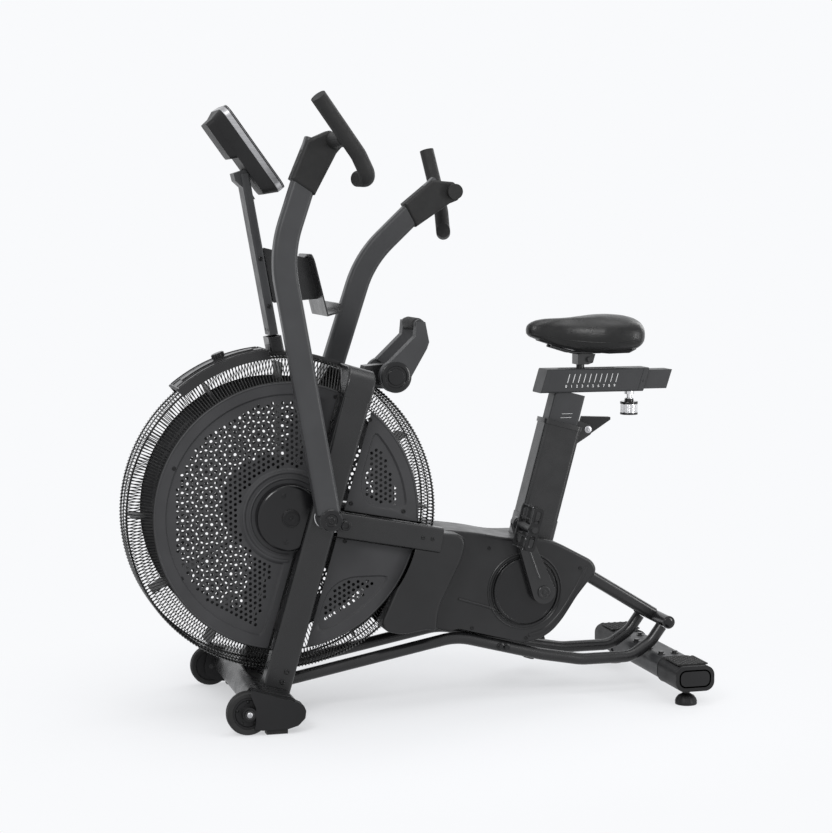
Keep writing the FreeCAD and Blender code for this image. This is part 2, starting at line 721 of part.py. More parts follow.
def arm_outline():
    foot, knee, head = arm_points()
    outer = bent_bar(foot, knee, head, 260, ARM_W, ARM_IN, ARM_OUT)
    return outer.makeFillet(9.0, [e for e in outer.Edges if e.BoundBox.YLength < 0.01 and e.Length > 60])


def arm_body():
    """Left arm as it rests, leaning forward: pivot barrel, bent tube, shaft and rocker lever."""
    foot, knee, head = arm_points()
    outer = arm_outline()
    inner = bent_bar((foot[0] + 4, foot[1] + 24), knee, head, 260, ARM_W - 6, ARM_IN + 3, ARM_OUT - 3)
    barrel = rod(PIVOT, 25, ARM_IN - 4, ARM_OUT + 2)
    tube = outer.cut(inner).fuse(barrel)
    shaft = rod(PIVOT, 12, 116, ARM_IN)
    collar = ring(PIVOT, 20, 12, POST_OUT + SLIDE_GAP, ARM_IN - 4)
    low = polar(PIVOT, ROCKER, -90)
    y0, y1 = 133.5, 140.0
    lever = bar(PIVOT, low, 16, y0, y1).fuse([rod(low, 8, y0, y1), rod(low, 4, ROD[0], y0)])
    lever = turned(lever, PIVOT, SWING / 2)
    return tube.fuse([shaft, collar, lever]).removeSplitter()


def arm_grip():
    """Rubber sleeve on the arm's head, cross tube and bent grip."""
    outline = [(12, 1180), (-22, 1261), (-72, 1283), (-101, 1270), (-101, 1250), (-87, 1234), (-40, 1146)]
    sleeve = prism(outline, ARM_IN - 4, ARM_OUT + 4)
    sleeve = sleeve.makeFillet(10.0, [e for e in long_edges(sleeve, Y_AXIS) if e.BoundBox.ZMin > 1200])
    sides = [e for e in sleeve.Edges if e.BoundBox.YLength < 0.01 and e.Length > 60]
    sleeve = sleeve.makeFillet(7.0, sides)
    cross = (-81.0, 1262.0)
    tube = rod(cross, 18, 160, 322)
    path = [(-17.0, 352.0, 1345.0), (-110.0, 317.0, 1228.0), (-138.0, 302.0, 1178.0), (-122.0, 258.0, 1180.0)]
    grip = pipe(path, [90.0, 24.0], GRIP_R)
    solid = sleeve.fuse([tube, grip]).cut(arm_outline())
    return largest(solid.removeSplitter())


def link_rod():
    """Push rod from the rocker lever, through the hollow rail, to the ring round the crank's lobe."""
    low = polar(PIVOT, ROCKER, -90 - SWING / 2)
    y0, y1 = ROD
    eye = rod(low, 9, y0, y1)
    inside = bar(low, (-336.0, 378.0), 11, y0, y1)
    dog = bar((-330, 379.0), (-354.0, 368.0), 11, y0, y1)
    turn = (CRANK[0] - 7.6, CRANK[1])
    middle = (-386.0, 345.0)
    slant = pipe_line((-350.0, (y0 + y1) / 2, 371.0), (middle[0], (LOBE[0] + LOBE[1]) / 2, middle[1]), 5.0)
    reach = bar(middle, polar(turn, 40, 33), 11, LOBE[0], LOBE[1])
    hoop = ring(turn, 44, 36, LOBE[0], LOBE[1])
    solid = eye.fuse([inside, dog, slant, reach]).cut(rod(turn, 36, 50, 80)).fuse(hoop)
    return solid.cut(rod(low, 4 + FIT, 110, 140)).removeSplitter()


def pipe_line(p0, p1, radius):
    way = V(*p1) - V(*p0)
    return Part.makeCylinder(radius, way.Length, V(*p0), way)


# ---------------------------------------------------------------- seat
def seat_post():
    high = (seat_x(698.0), 698.0)
    low = (seat_x(SEAT_TUBE_TOP - 200), SEAT_TUBE_TOP - 200)
    tube = box_tube(low, high, POST2_W, -POST2_HALF, POST2_HALF, 2.5, 6.0)
    trim = block(-900, -400, -60, 60, 698, 800)
    return tube.cut(trim)


HOUSE_TOP = [(-626, 753), (-877, 753)]
HOUSE_LOW = [(-610, 698), (-862, 698)]


def slider_housing():
    outline = [HOUSE_TOP[0], HOUSE_TOP[1], HOUSE_LOW[1], HOUSE_LOW[0]]
    outer = prism(outline, -HOUSE_HALF, HOUSE_HALF)
    outer = outer.makeFillet(5.0, long_edges(outer, V(1, 0, 0)))
    bore = prism([(-636, 748), (-890, 748), (-890, 703), (-626, 703)], -26, 26)
    slot = block(SADDLE_POST_X - 84, SADDLE_POST_X + 56, -11, 11, 740, 760)
    return outer.cut(bore).cut(slot).cut(pin_z(KNOB, 6 + FIT, 690, 710))


def slider_rail():
    g = 0.4
    outline = [(-690, 748 - g), (-936, 748 - g), (-922, 703 + g), (-676, 703 + g)]
    outer = prism(outline, -26 + g, 26 - g)
    inner = prism([(-660, 744), (-960, 744), (-960, 707), (-660, 707)], -22, 22)
    holes = [pin_z((KNOB[0] + 17 * i, 0.0), 5, 690, 710) for i in range(-4, 7)]
    return outer.cut(inner).cut(Part.makeCompound(holes))


def saddle_clamp():
    x = SADDLE_POST_X
    post_ = pin_z((x, 0.0), 9.5, 748 - 0.4, 772)
    outline = [(x + 13, 762), (x + 13, 786), (x - 8, 790), (x - 30, 786), (x - 24, 766), (x - 12, 762)]
    body = prism(outline, -20, 20)
    bolt = rod((x - 14, 774), 6, -26, 26)
    path = [(-640, 14, 806), (-690, 20, 791), (-760, 22, 791), (-815, 34, 806)]
    rails = [pipe([(px, side * py, pz) for px, py, pz in path], [40, 40], 3.5) for side in (-1, 1)]
    return post_.fuse([body, bolt] + rails).removeSplitter()


def saddle_pad():
    """Plain closed cushion: nose, waist and wide back, flat underneath."""
    plan = [(-583, 16, 842, 858), (-600, 24, 826, 864), (-660, 34, 812, 867), (-712, 58, 804, 871),
            (-770, 84, 800, 874), (-824, 86, 800, 874), (-849, 66, 806, 868), (-858, 40, 818, 858)]
    loops = []
    for x, half, low, high in plan:
        loops.append(Part.Wire(Part.makePolygon([V(x, -half * 0.6, low), V(x, half * 0.6, low),
                                                 V(x, half, low + 12),
                                                 V(x, half * 0.7, high), V(x, -half * 0.7, high),
                                                 V(x, -half, low + 12),
                                                 V(x, -half * 0.6, low)])))
    return Part.makeLoft(loops, True, True).cut(saddle_clamp())


def saddle_knob():
    neck = pin_z(KNOB, 12, 690, 697.6).fuse(pin_z(KNOB, 6, 672, 702.8))
    collar = pin_z(KNOB, 10, 672, 680)
    head = pin_z(KNOB, 19, 645, 668)
    rims = pin_z(KNOB, 20, 642, 646).fuse(pin_z(KNOB, 20, 667, 672))
    return neck.fuse([collar, head, rims]).removeSplitter()


def seat_lever():
    """Cam lever that clamps the seat post."""
    wedge = prism([(-716, 622), (-722, 640), (-790, 637), (-790, 631), (-742, 600), (-722, 598)], -7.8, 7.8)
    return wedge.cut(rod(LEVER_PIN, 4 + FIT, -40, 40))


# ---------------------------------------------------------------- mast, console and fittings
def mast():
    top = (76.0, 1196.0)
    foot = (12.8, 842.0)
    tube = box_tube(foot, top, 19, -31, 31, 2.0, 4.0)
    plug = bar((67.4, 1148.0), top, 16, -29, 29)
    bracket = prism([(70, 1206), (100, 1196), (96, 1180), (52, 1140), (58, 1150)], -24, 24)
    return tube.fuse([plug, bracket]).removeSplitter()


HOLDER_LOW = (-98.0, 884.0)
HOLDER_HIGH = (-64.0, 1020.0)


def phone_holder():
    """Upright tray behind the mast on two webs, with a ledge and an upturned lip."""
    plate = bar(HOLDER_LOW, HOLDER_HIGH, 3, -80, 80)
    way = V(HOLDER_HIGH[0] - HOLDER_LOW[0], 0, HOLDER_HIGH[1] - HOLDER_LOW[1]).normalize()
    across = V(way.z, 0, -way.x)
    corners = [e for e in long_edges(plate, across) if e.BoundBox.ZMin > 1000]
    plate = plate.makeFillet(24.0, corners)
    ledge = prism([(-97, 887), (-97, 883), (-130, 892), (-130, 896)], -80, 80)
    lip = prism([(-127, 892), (-123, 911), (-127, 912), (-131, 893)], -80, 80)
    web = prism([(34.0, 1034), (-65.5, 1010), (-88, 920), (12.0, 912)], 18, 21)
    solid = plate.fuse([ledge, lip, web, mirrored(web)])
    return largest(solid.cut(bar((12.8, 842.0), (76.0, 1196.0), 19, -40, 40)))


SCREEN_MID = (57.0, 1254.0)
SCREEN_TILT = math.degrees(math.atan2(128.0, 176.0))
SCREEN_H = 218.0
SCREEN_HALF = 72.0
BEZEL = 18.0


def screen_place(shape):
    """Drawn flat with the screen's up along Z and its back along +X, then tilted into place."""
    shape.rotate(V(0, 0, 0), Y_AXIS, SCREEN_TILT)
    shape.translate(V(SCREEN_MID[0], 0, SCREEN_MID[1]))
    return shape


def rounded_slab(x0, x1, half_y, z0, z1, corner):
    solid = block(x0, x1, -half_y, half_y, z0, z1)
    return solid.makeFillet(corner, long_edges(solid, V(1, 0, 0)))


def rounded_loop(x, half_y, z0, z1, corner):
    solid = rounded_slab(x, x + 5, half_y, z0, z1, corner)
    face = min(solid.Faces, key=lambda f: f.BoundBox.XMax)
    return face.OuterWire


def console_housing():
    """Bezel with a back shell that narrows to a deep upper hump."""
    h = SCREEN_H / 2
    bezel = rounded_slab(0, BEZEL, SCREEN_HALF, -h, h, 22.0)
    low_back = Part.makeLoft([rounded_loop(BEZEL, SCREEN_HALF, -h, h, 22.0),
                              rounded_loop(43, 40, -h + 12, h - 8, 16.0)], True, True)
    hump_loops = [rounded_loop(30, 46, -6, h - 6, 10.0), rounded_loop(57, 35, 8, h - 9, 8.0)]
    hump = Part.makeLoft(hump_loops, True, True)
    solid = screen_place(bezel.fuse([low_back, hump]).removeSplitter())
    hollow = Part.makeLoft([rounded_loop(8, SCREEN_HALF - 4, -h + 4, h - 4, 18.0),
                            rounded_loop(39, 38, -h + 16, h - 14, 12.0)], True, True)
    return solid.cut(screen_place(hollow)).cut(console_face()).cut(mast())


def console_face():
    """Screen window and key strip, set into the bezel."""
    h = SCREEN_H / 2
    window = screen_place(rounded_slab(-0.5, 2.5, SCREEN_HALF - 12, -30, h - 14, 6.0))
    keys = screen_place(rounded_slab(-0.5, 2.5, SCREEN_HALF - 18, -h + 16, -40, 6.0))
    return Part.makeCompound([window, keys])


def grab_handle():
    """Two cast arms on hub discs, joined by a round bar, turning on a shaft."""
    shaft = rod(GRAB_HUB, 9, -66, 66)
    disc = rod(GRAB_HUB, 36, 54, 74)
    outline = [(-240, 778), (-300, 836), (-303, 868), (-322, 868), (-331, 823), (-326, 808), (-290, 746)]
    limb = prism(outline, 46, 74)
    limb = limb.fuse(disc).removeSplitter()
    grip = rod((-313.0, 861.0), 12, -60, 60)
    boss = rod(GRAB_HUB, 20, 24, 54)
    solid = shaft.fuse([limb, mirrored(limb), grip, boss, mirrored(boss)])
    return solid.removeSplitter()


# ---------------------------------------------------------------- wheels and fasteners
def transport_wheel():
    tyre = ring(WHEEL, WHEEL_R, 6 + FIT, 233, 257)
    groove = ring(WHEEL, WHEEL_R - 9, 20, 252, 260)
    return tyre.cut(groove)


def fasteners():
    """Bolt heads, the wheel axles, the lever's pin and the axle nuts."""
    wheel_axle = rod(WHEEL, 6, 226.2, 266).fuse(rod(WHEEL, 10, 264, 268)).removeSplitter()
    rail_bolt = rod((-122.0, 425.0), 14, RAIL_OUT, RAIL_OUT + 5)
    axle_nut = ring(FAN, 16, AXLE_R, POST_IN, POST_IN + 12)
    side = [wheel_axle, rail_bolt, axle_nut]
    pieces = side + [mirrored(s) for s in side]
    pieces.append(rod(LEVER_PIN, 4, -17, 17))
    return Part.makeCompound(pieces)


# ---------------------------------------------------------------- node list
def swung(shape):
    """The right arm: the left one mirrored and swung back to the other end of the stroke."""
    return turned(mirrored(shape), PIVOT, -SWING)


def slid(shape):
    """The right link rod keeps its direction while its eye follows the right rocker lever."""
    out = mirrored(shape)
    a = polar(PIVOT, ROCKER, -90 - SWING / 2)
    b = polar(PIVOT, ROCKER, -90 + SWING / 2)
    out.translate(V(b[0] - a[0], 0, b[1] - a[1]))
    return out


def nodes():
    left_tip = polar(CRANK, CRANK_L, 90 - CRANK_LEAN)
    right_tip = polar(CRANK, CRANK_L, 270 - CRANK_LEAN)
    half = shroud_half()
    plain_post = post()
    rail = rail_solid(WALL)
    low_rail = lower_rail()
    arm, grip, link = arm_body(), arm_grip(), link_rod()
    return {
        "left_post": plain_post, "right_post": mirrored(plain_post), "top_arch": top_arch(),
        "mast_base": mast_base(), "left_side_rail": rail, "right_side_rail": mirrored(rail),
        "centre_beam": centre_beam(), "left_lower_rail": low_rail, "right_lower_rail": mirrored(low_rail),
        "rear_stay": rear_stay(), "rear_handle": rear_handle(), "front_stabiliser": front_stabiliser(),
        "front_end_caps": both(front_end_cap()), "rubber_pads": rubber_pads(),
        "rear_stabiliser": rear_stabiliser(), "rear_end_caps": both(rear_end_cap()), "seat_tube": seat_tube(),
        "front_panels": both(front_sector()), "rear_panels": both(rear_sectors()), "fan_cage": fan_cage(),
        "hub_covers": both(hub_cover()), "fan_axle": fan_axle(), "wind_guard": wind_guard(),
        "left_shroud": half, "right_shroud": mirrored(half), "mast": mast(), "phone_holder": phone_holder(),
        "drive_belts": drive_belts(), "bearings": bearings(), "fasteners": fasteners(),
        "console_housing": console_housing(), "console_face": console_face(), "fan_hub": fan_hub(),
        "fan_blades": fan_blades(), "fan_pulley": fan_pulley(), "jackshaft": jackshaft(),
        "crank_axle": crank_axle(), "crank_arms": crank_arms(), "crank_covers": both(crank_cover()),
        "crank_pulley": crank_pulley(), "left_pedal": pedal(left_tip),
        "right_pedal": mirrored(pedal(right_tip)),
        "left_arm": arm, "right_arm": swung(arm), "left_grip": grip,
        "right_grip": swung(grip), "left_link_rod": link, "right_link_rod": slid(link),
        "left_wheel": transport_wheel(), "right_wheel": mirrored(transport_wheel()),
        "left_leveller": leveller(), "right_leveller": mirrored(leveller()), "seat_post": seat_post(),
        "slider_housing": slider_housing(), "slider_rail": slider_rail(), "saddle_clamp": saddle_clamp(),
        "saddle_pad": saddle_pad(), "saddle_knob": saddle_knob(), "seat_lever": seat_lever(),
        "grab_handle": grab_handle(),
    }


def main():
    os.makedirs("parts", exist_ok=True)
    for name, shape in nodes().items():
        placed = shape.copy()
        placed.translate(V(SHIFT_X, 0, 0))
        placed.exportStep("parts/" + name + ".step")
        box = placed.BoundBox
        print("%-18s solids %2d valid %s vol %9.0f  x %7.1f %7.1f  y %7.1f %7.1f  z %7.1f %7.1f" % (
            name, len(placed.Solids), placed.isValid(), placed.Volume,
            box.XMin, box.XMax, box.YMin, box.YMax, box.ZMin, box.ZMax))


main()
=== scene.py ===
import json
import math

import bmesh
import bpy
from mathutils import Matrix, Vector
from mathutils.bvhtree import BVHTree
from mathutils.geometry import delaunay_2d_cdt


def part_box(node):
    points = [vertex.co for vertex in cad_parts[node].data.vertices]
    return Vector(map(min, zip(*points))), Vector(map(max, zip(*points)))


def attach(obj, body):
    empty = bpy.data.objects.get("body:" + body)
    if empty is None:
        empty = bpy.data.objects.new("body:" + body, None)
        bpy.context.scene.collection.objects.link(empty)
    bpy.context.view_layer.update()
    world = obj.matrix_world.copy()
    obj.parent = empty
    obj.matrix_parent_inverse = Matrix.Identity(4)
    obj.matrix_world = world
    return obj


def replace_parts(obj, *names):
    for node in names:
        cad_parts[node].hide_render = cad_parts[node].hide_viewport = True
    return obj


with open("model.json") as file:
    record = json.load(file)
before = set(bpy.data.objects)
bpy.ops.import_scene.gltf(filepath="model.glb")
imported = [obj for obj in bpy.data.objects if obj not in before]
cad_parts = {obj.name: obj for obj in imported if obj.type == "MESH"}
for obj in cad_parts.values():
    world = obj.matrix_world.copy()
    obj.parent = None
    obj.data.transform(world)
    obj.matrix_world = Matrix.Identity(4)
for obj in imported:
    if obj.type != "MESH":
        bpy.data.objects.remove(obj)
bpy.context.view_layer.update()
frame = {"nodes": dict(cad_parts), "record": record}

MM = 0.001
HUB_LOW, HUB_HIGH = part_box("fan_hub")
FAN_X = (HUB_LOW.x + HUB_HIGH.x) / 2
FAN_Z = (HUB_LOW.z + HUB_HIGH.z) / 2 / MM
Y = Vector((0, 1, 0))
Z = Vector((0, 0, 1))

# Millimetres from here on, with the fan's axis at x = 0, as the CAD part draws them.
LEAN = math.radians(16.1)
RAIL_HALF = 31.5
POST_EDGE = RAIL_HALF / math.cos(LEAN)
AHEAD_OF_POST = POST_EDGE + 3
BEHIND_POST = -POST_EDGE - 19
PANEL_R = 295.0
PANEL_Y = 108.0
HUB_HOLE_R = 34.0
HUB_FLAT_R = 105.0
HOLE_R = 3.7
HOLE_STEP = 12.2
ROW_STEP = 10.56
CAGE_R = 351.0
WIRE_R = 1.2
WIRES = 288
PIVOT = (-72.0, 450.0)
CRANK = (-593.0, 250.0)
CRANK_L = 172.0
CRANK_LEAN = 20.7
COVER = (-556.0, 250.0)
RECESS = 4.0
GRAB_HUB = (-254.0, 746.0)
REAR_X = -903.0
WHEEL = (118.0, 47.4)
LEVER_PIN = (-732.0, 610.0)
KNOB_X = -839.0
SIDES = {"left": 1, "right": -1}


def at(x, y, z):
    """A point of the CAD drawing, in metres in the shared frame."""
    return Vector((FAN_X + x * MM, y * MM, z * MM))


def turns(count):
    """Angles at equal steps round a full turn."""
    return [2 * math.pi * k / count for k in range(count)]


# ---------------------------------------------------------------- materials
def link(tree, source, target):
    tree.links.new(source, target)


def fill(node, values):
    """Sets a node's inputs by name."""
    for name, value in values.items():
        node.inputs[name].default_value = value
    return node


def noise(tree, scale, detail=3.0, roughness=0.55):
    place = tree.nodes.new("ShaderNodeTexCoord")
    tex = tree.nodes.new("ShaderNodeTexNoise")
    fill(tex, {"Scale": scale, "Detail": detail, "Roughness": roughness})
    link(tree, place.outputs["Object"], tex.inputs["Vector"])
    return tex.outputs["Fac"]


def spread_range(tree, value, low, high):
    node = tree.nodes.new("ShaderNodeMapRange")
    fill(node, {"From Min": 0.3, "From Max": 0.7, "To Min": low, "To Max": high})
    link(tree, value, node.inputs["Value"])
    return node.outputs["Result"]


def two_tone(tree, value, low, high):
    ramp = tree.nodes.new("ShaderNodeValToRGB")
    ramp.color_ramp.elements[0].position = 0.32
    ramp.color_ramp.elements[1].position = 0.68
    ramp.color_ramp.elements[0].color = (*low, 1)
    ramp.color_ramp.elements[1].color = (*high, 1)
    link(tree, value, ramp.inputs["Fac"])
    return ramp.outputs["Color"]


def relief(tree, height, strength, depth, round_edges=0.0):
    bump = tree.nodes.new("ShaderNodeBump")
    fill(bump, {"Strength": strength, "Distance": depth})
    link(tree, height, bump.inputs["Height"])
    if round_edges:
        soft = tree.nodes.new("ShaderNodeBevel")
        soft.samples = 4
        soft.inputs["Radius"].default_value = round_edges
        link(tree, soft.outputs["Normal"], bump.inputs["Normal"])
    return bump.outputs["Normal"]


def blank(name):
    made = bpy.data.materials.new(name)
    made.use_nodes = True
    return made, made.node_tree, made.node_tree.nodes["Principled BSDF"]


def coating(name, colour, rough, metal=0.0, grain=1400.0, bump=0.25, tone=0.18, coat=0.0, rounding=0.0012,
            shine=0.24):
    """Paint, moulded plastic or metal: slow changes of tone, a fine grain and softened edges."""
    made, tree, shader = blank(name)
    low = [c * (1 - tone) for c in colour]
    high = [c * (1 + tone) for c in colour]
    link(tree, two_tone(tree, noise(tree, 9.0), low, high), shader.inputs["Base Color"])
    wear = spread_range(tree, noise(tree, 30.0, 5.0), rough - 0.05, rough + 0.07)
    link(tree, wear, shader.inputs["Roughness"])
    link(tree, relief(tree, noise(tree, grain, 2.0), bump, 0.0002, rounding), shader.inputs["Normal"])
    fill(shader, {"Metallic": metal, "Specular IOR Level": shine})
    fill(shader, {"Coat Weight": coat, "Coat Roughness": 0.12})
    return made


def brushed(name, colour, rough, stretch=(4.0, 900.0, 900.0)):
    """Turned or brushed metal: fine lines run one way."""
    made, tree, shader = blank(name)
    place = tree.nodes.new("ShaderNodeTexCoord")
    scale = tree.nodes.new("ShaderNodeMapping")
    scale.inputs["Scale"].default_value = stretch
    tex = tree.nodes.new("ShaderNodeTexNoise")
    tex.inputs["Scale"].default_value = 1.0
    link(tree, place.outputs["Object"], scale.inputs["Vector"])
    link(tree, scale.outputs["Vector"], tex.inputs["Vector"])
    low = [c * 0.85 for c in colour]
    link(tree, two_tone(tree, tex.outputs["Fac"], low, colour), shader.inputs["Base Color"])
    link(tree, spread_range(tree, tex.outputs["Fac"], rough, rough + 0.12), shader.inputs["Roughness"])
    link(tree, relief(tree, tex.outputs["Fac"], 0.15, 0.0001), shader.inputs["Normal"])
    shader.inputs["Metallic"].default_value = 1.0
    return made


def pebbled(name, colour, rough, cell, depth, sheen=0.0, tone=0.2):
    """Leather or rubber: rounded cells with creases between them."""
    made, tree, shader = blank(name)
    place = tree.nodes.new("ShaderNodeTexCoord")
    cells = tree.nodes.new("ShaderNodeTexVoronoi")
    cells.feature = "SMOOTH_F1"
    fill(cells, {"Scale": cell, "Smoothness": 0.6})
    link(tree, place.outputs["Object"], cells.inputs["Vector"])
    mix = tree.nodes.new("ShaderNodeMath")
    mix.operation = "ADD"
    link(tree, cells.outputs["Distance"], mix.inputs[0])
    link(tree, spread_range(tree, noise(tree, cell * 2.2), 0.0, 0.35), mix.inputs[1])
    low = [c * (1 - tone) for c in colour]
    high = [c * (1 + tone) for c in colour]
    link(tree, two_tone(tree, noise(tree, 22.0), low, high), shader.inputs["Base Color"])
    wear = spread_range(tree, noise(tree, 60.0, 4.0), rough - 0.06, rough + 0.08)
    link(tree, wear, shader.inputs["Roughness"])
    link(tree, relief(tree, mix.outputs["Value"], 0.5, depth), shader.inputs["Normal"])
    fill(shader, {"Sheen Weight": sheen, "Specular IOR Level": 0.3})
    return made


def screen_material(name):
    """Dark display glass with a faint cell pattern under a glossy coat."""
    made, tree, shader = blank(name)
    link(tree, two_tone(tree, noise(tree, 260.0), (0.006, 0.008, 0.009), (0.012, 0.015, 0.016)),
         shader.inputs["Base Color"])
    link(tree, spread_range(tree, noise(tree, 12.0), 0.05, 0.11), shader.inputs["Roughness"])
    fill(shader, {"Coat Weight": 1.0, "Coat Roughness": 0.03})
    return made


SLOTS = {
    "frame_black": coating("frame_black", (0.0085, 0.0085, 0.009), 0.27, grain=2600.0, bump=0.2, shine=0.42),
    "panel_grey": coating("panel_grey", (0.030, 0.030, 0.0315), 0.44, grain=1800.0, bump=0.3, tone=0.12),
    "arm_grey": coating("arm_grey", (0.034, 0.0345, 0.036), 0.36, grain=2600.0, bump=0.25, tone=0.1),
    "slate_metal": coating("slate_metal", (0.026, 0.0265, 0.028), 0.38, grain=2200.0, bump=0.25, tone=0.1),
    "cage_wire": coating("cage_wire", (0.006, 0.006, 0.006), 0.34, rounding=0.0),
    "shroud_plastic": coating("shroud_plastic", (0.0085, 0.0085, 0.009), 0.33, grain=900.0, bump=0.3,
                              shine=0.34),
    "black_plastic": coating("black_plastic", (0.007, 0.007, 0.0075), 0.46, grain=1000.0, bump=0.5),
    "gloss_black": coating("gloss_black", (0.004, 0.004, 0.0045), 0.2, grain=700.0, bump=0.05, shine=0.35),
    "grip_rubber": pebbled("grip_rubber", (0.008, 0.008, 0.008), 0.6, 900.0, 0.0004),
    "wheel_tyre": pebbled("wheel_tyre", (0.010, 0.010, 0.010), 0.62, 700.0, 0.0003),
    "saddle_skin": pebbled("saddle_skin", (0.005, 0.005, 0.005), 0.32, 420.0, 0.0005, sheen=0.03),
    "chrome_trim": brushed("chrome_trim", (0.72, 0.72, 0.73), 0.14),
    "steel": brushed("steel", (0.42, 0.42, 0.43), 0.3),
    "blade_steel": coating("blade_steel", (0.012, 0.012, 0.013), 0.4, metal=0.2, rounding=0.0),
    "screen_glass": screen_material("screen_glass"),
    "crank_black": coating("crank_black", (0.008, 0.008, 0.0085), 0.28, grain=1800.0, bump=0.2, shine=0.45),
}
DARK_TREAD = pebbled("tread_rubber", (0.020, 0.020, 0.020), 0.7, 500.0, 0.0005)
WHITE_MARK = coating("white_mark", (0.62, 0.62, 0.62), 0.5, rounding=0.0, tone=0.05)


# ---------------------------------------------------------------- pieces
def ring_faces(count, n, closed=False):
    """Quads between neighbouring rings of n points each."""
    faces = []
    for i in range(count if closed else count - 1):
        k = (i + 1) % count
        faces += [[i * n + j, k * n + j, k * n + (j + 1) % n, i * n + (j + 1) % n] for j in range(n)]
    return faces


class Shape:
    """Solids gathered into one piece."""

    def __init__(self):
        self.verts = []
        self.faces = []

    def add(self, verts, faces):
        first = len(self.verts)
        self.verts += verts
        self.faces += [[first + i for i in face] for face in faces]

    def lathe(self, base, axis, profile, steps=48):
        """A closed (radius, height) outline in mm, turned about an axis from a base point."""
        axis = axis.normalized()
        side = axis.orthogonal().normalized()
        if abs(axis.y) > 0.9:
            side = Z.copy()
        other = axis.cross(side)
        verts = []
        for t in turns(steps):
            out = side * math.cos(t) + other * math.sin(t)
            verts += [base + out * (r * MM) + axis * (h * MM) for r, h in profile]
        self.add(verts, ring_faces(steps, len(profile), closed=True))

    def sweep(self, path, radius, closed=False, steps=8, flat=1.0):
        """A round bar along points in metres; flat squeezes its section."""
        count = len(path)
        rings = []
        side = None
        for i, p in enumerate(path):
            a = path[i - 1] if i or closed else p
            b = path[(i + 1) % count] if i < count - 1 or closed else p
            way = (b - a).normalized()
            side = way.orthogonal() if side is None else side - way * side.dot(way)
            side.normalize()
            other = way.cross(side)
            rings.append([p + (side * math.cos(t) + other * math.sin(t) * flat) * radius * MM
                          for t in turns(steps)])
        verts = [v for r in rings for v in r]
        faces = []
        for i in range(count if closed else count - 1):
            k = (i + 1) % count
            faces += [[i * steps + j, i * steps + (j + 1) % steps, k * steps + (j + 1) % steps, k * steps + j]
                      for j in range(steps)]
        if not closed:
            faces.append(list(range(steps))[::-1])
            faces.append([(count - 1) * steps + j for j in range(steps)])
        self.add(verts, faces)

    def prism(self, outline, push):
        """An outline of points in metres, pushed along a vector."""
        n = len(outline)
        verts = list(outline) + [p + push for p in outline]
        faces = [list(range(n))[::-1], list(range(n, 2 * n))]
        faces += [[i, (i + 1) % n, n + (i + 1) % n, n + i] for i in range(n)]
        self.add(verts, faces)

    def bead(self, path, width, height, out, closed=False):
        """A low half-round rib along points that lie on a face whose outward way is out."""
        count = len(path)
        section = [(-0.5, 0.0), (-0.36, 0.62), (0.0, 1.0), (0.36, 0.62), (0.5, 0.0), (0.4, -0.25),
                   (-0.4, -0.25)]
        n = len(section)
        verts = []
        for i, p in enumerate(path):
            a = path[i - 1] if i or closed else p
            b = path[(i + 1) % count] if i < count - 1 or closed else p
            side = (b - a).normalized().cross(out)
            verts += [p + side * (u * width * MM) + out * (v * height * MM) for u, v in section]
        faces = ring_faces(count, n, closed)
        if not closed:
            faces += [list(range(n)), [(count - 1) * n + j for j in range(n)][::-1]]
        self.add(verts, faces)

    def box_at(self, spot, u, ys, vs, thick):
        """A small block given in a pedal's own directions."""
        corners = [(ys[0], vs[0]), (ys[1], vs[0]), (ys[1], vs[1]), (ys[0], vs[1])]
        self.prism([spot(u - thick, y, v) for y, v in corners], spot(2 * thick, 0, 0) - spot(0, 0, 0))

    def hex_bolt(self, base, axis, r, h, washer=True):
        if washer:
            self.lathe(base, axis, [(0, -1), (r * 1.45, -1), (r * 1.45, 1.2), (r * 1.3, 1.8), (0, 1.8)], 32)
        self.lathe(base, axis, [(0, 1), (r, 1), (r, h - 1), (r * 0.88, h), (0, h)], 6)

    def cap_screw(self, base, axis, r, h):
        """Round head with a hexagonal socket."""
        outline = [(r * 0.55, h), (r * 0.85, h), (r, h - 0.16 * r), (r, -1), (0, -1), (0, h * 0.35),
                   (r * 0.5, h * 0.35)]
        self.lathe(base, axis, outline, 24)

    def dome(self, base, axis, r, h, steps=32):
        ring = [(r * math.cos(t), h * math.sin(t)) for t in [math.pi / 2 * k / 8 for k in range(9)]]
        self.lathe(base, axis, [(0, -1), (r, -1)] + ring, steps)

    def done(self, name, body, slot, material=None, angle=35.0):
        mesh = bpy.data.meshes.new(name)
        mesh.from_pydata([tuple(v) for v in self.verts], [], self.faces)
        work = bmesh.new()
        work.from_mesh(mesh)
        bmesh.ops.remove_doubles(work, verts=work.verts, dist=1e-7)
        bmesh.ops.dissolve_degenerate(work, edges=work.edges, dist=1e-7)
        bmesh.ops.recalc_face_normals(work, faces=work.faces)
        work.to_mesh(mesh)
        work.free()
        return settle(name, mesh, body, slot, material, angle)


def coat_mesh(mesh, material):
    """Gives a mesh one material and smooth shading."""
    mesh.materials.clear()
    mesh.materials.append(material)
    mesh.polygons.foreach_set("use_smooth", [True] * len(mesh.polygons))


def settle(name, mesh, body, slot, material=None, angle=35.0):
    """Puts a mesh in the scene on its body, with its finish."""
    coat_mesh(mesh, material or SLOTS[slot])
    mesh.set_sharp_from_angle(angle=math.radians(angle))
    piece = bpy.data.objects.new(name, mesh)
    bpy.context.scene.collection.objects.link(piece)
    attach(piece, body)
    return piece


def baked(piece):
    """The mesh of a piece with its modifiers applied."""
    graph = bpy.context.evaluated_depsgraph_get()
    return bpy.data.meshes.new_from_object(piece.evaluated_get(graph))


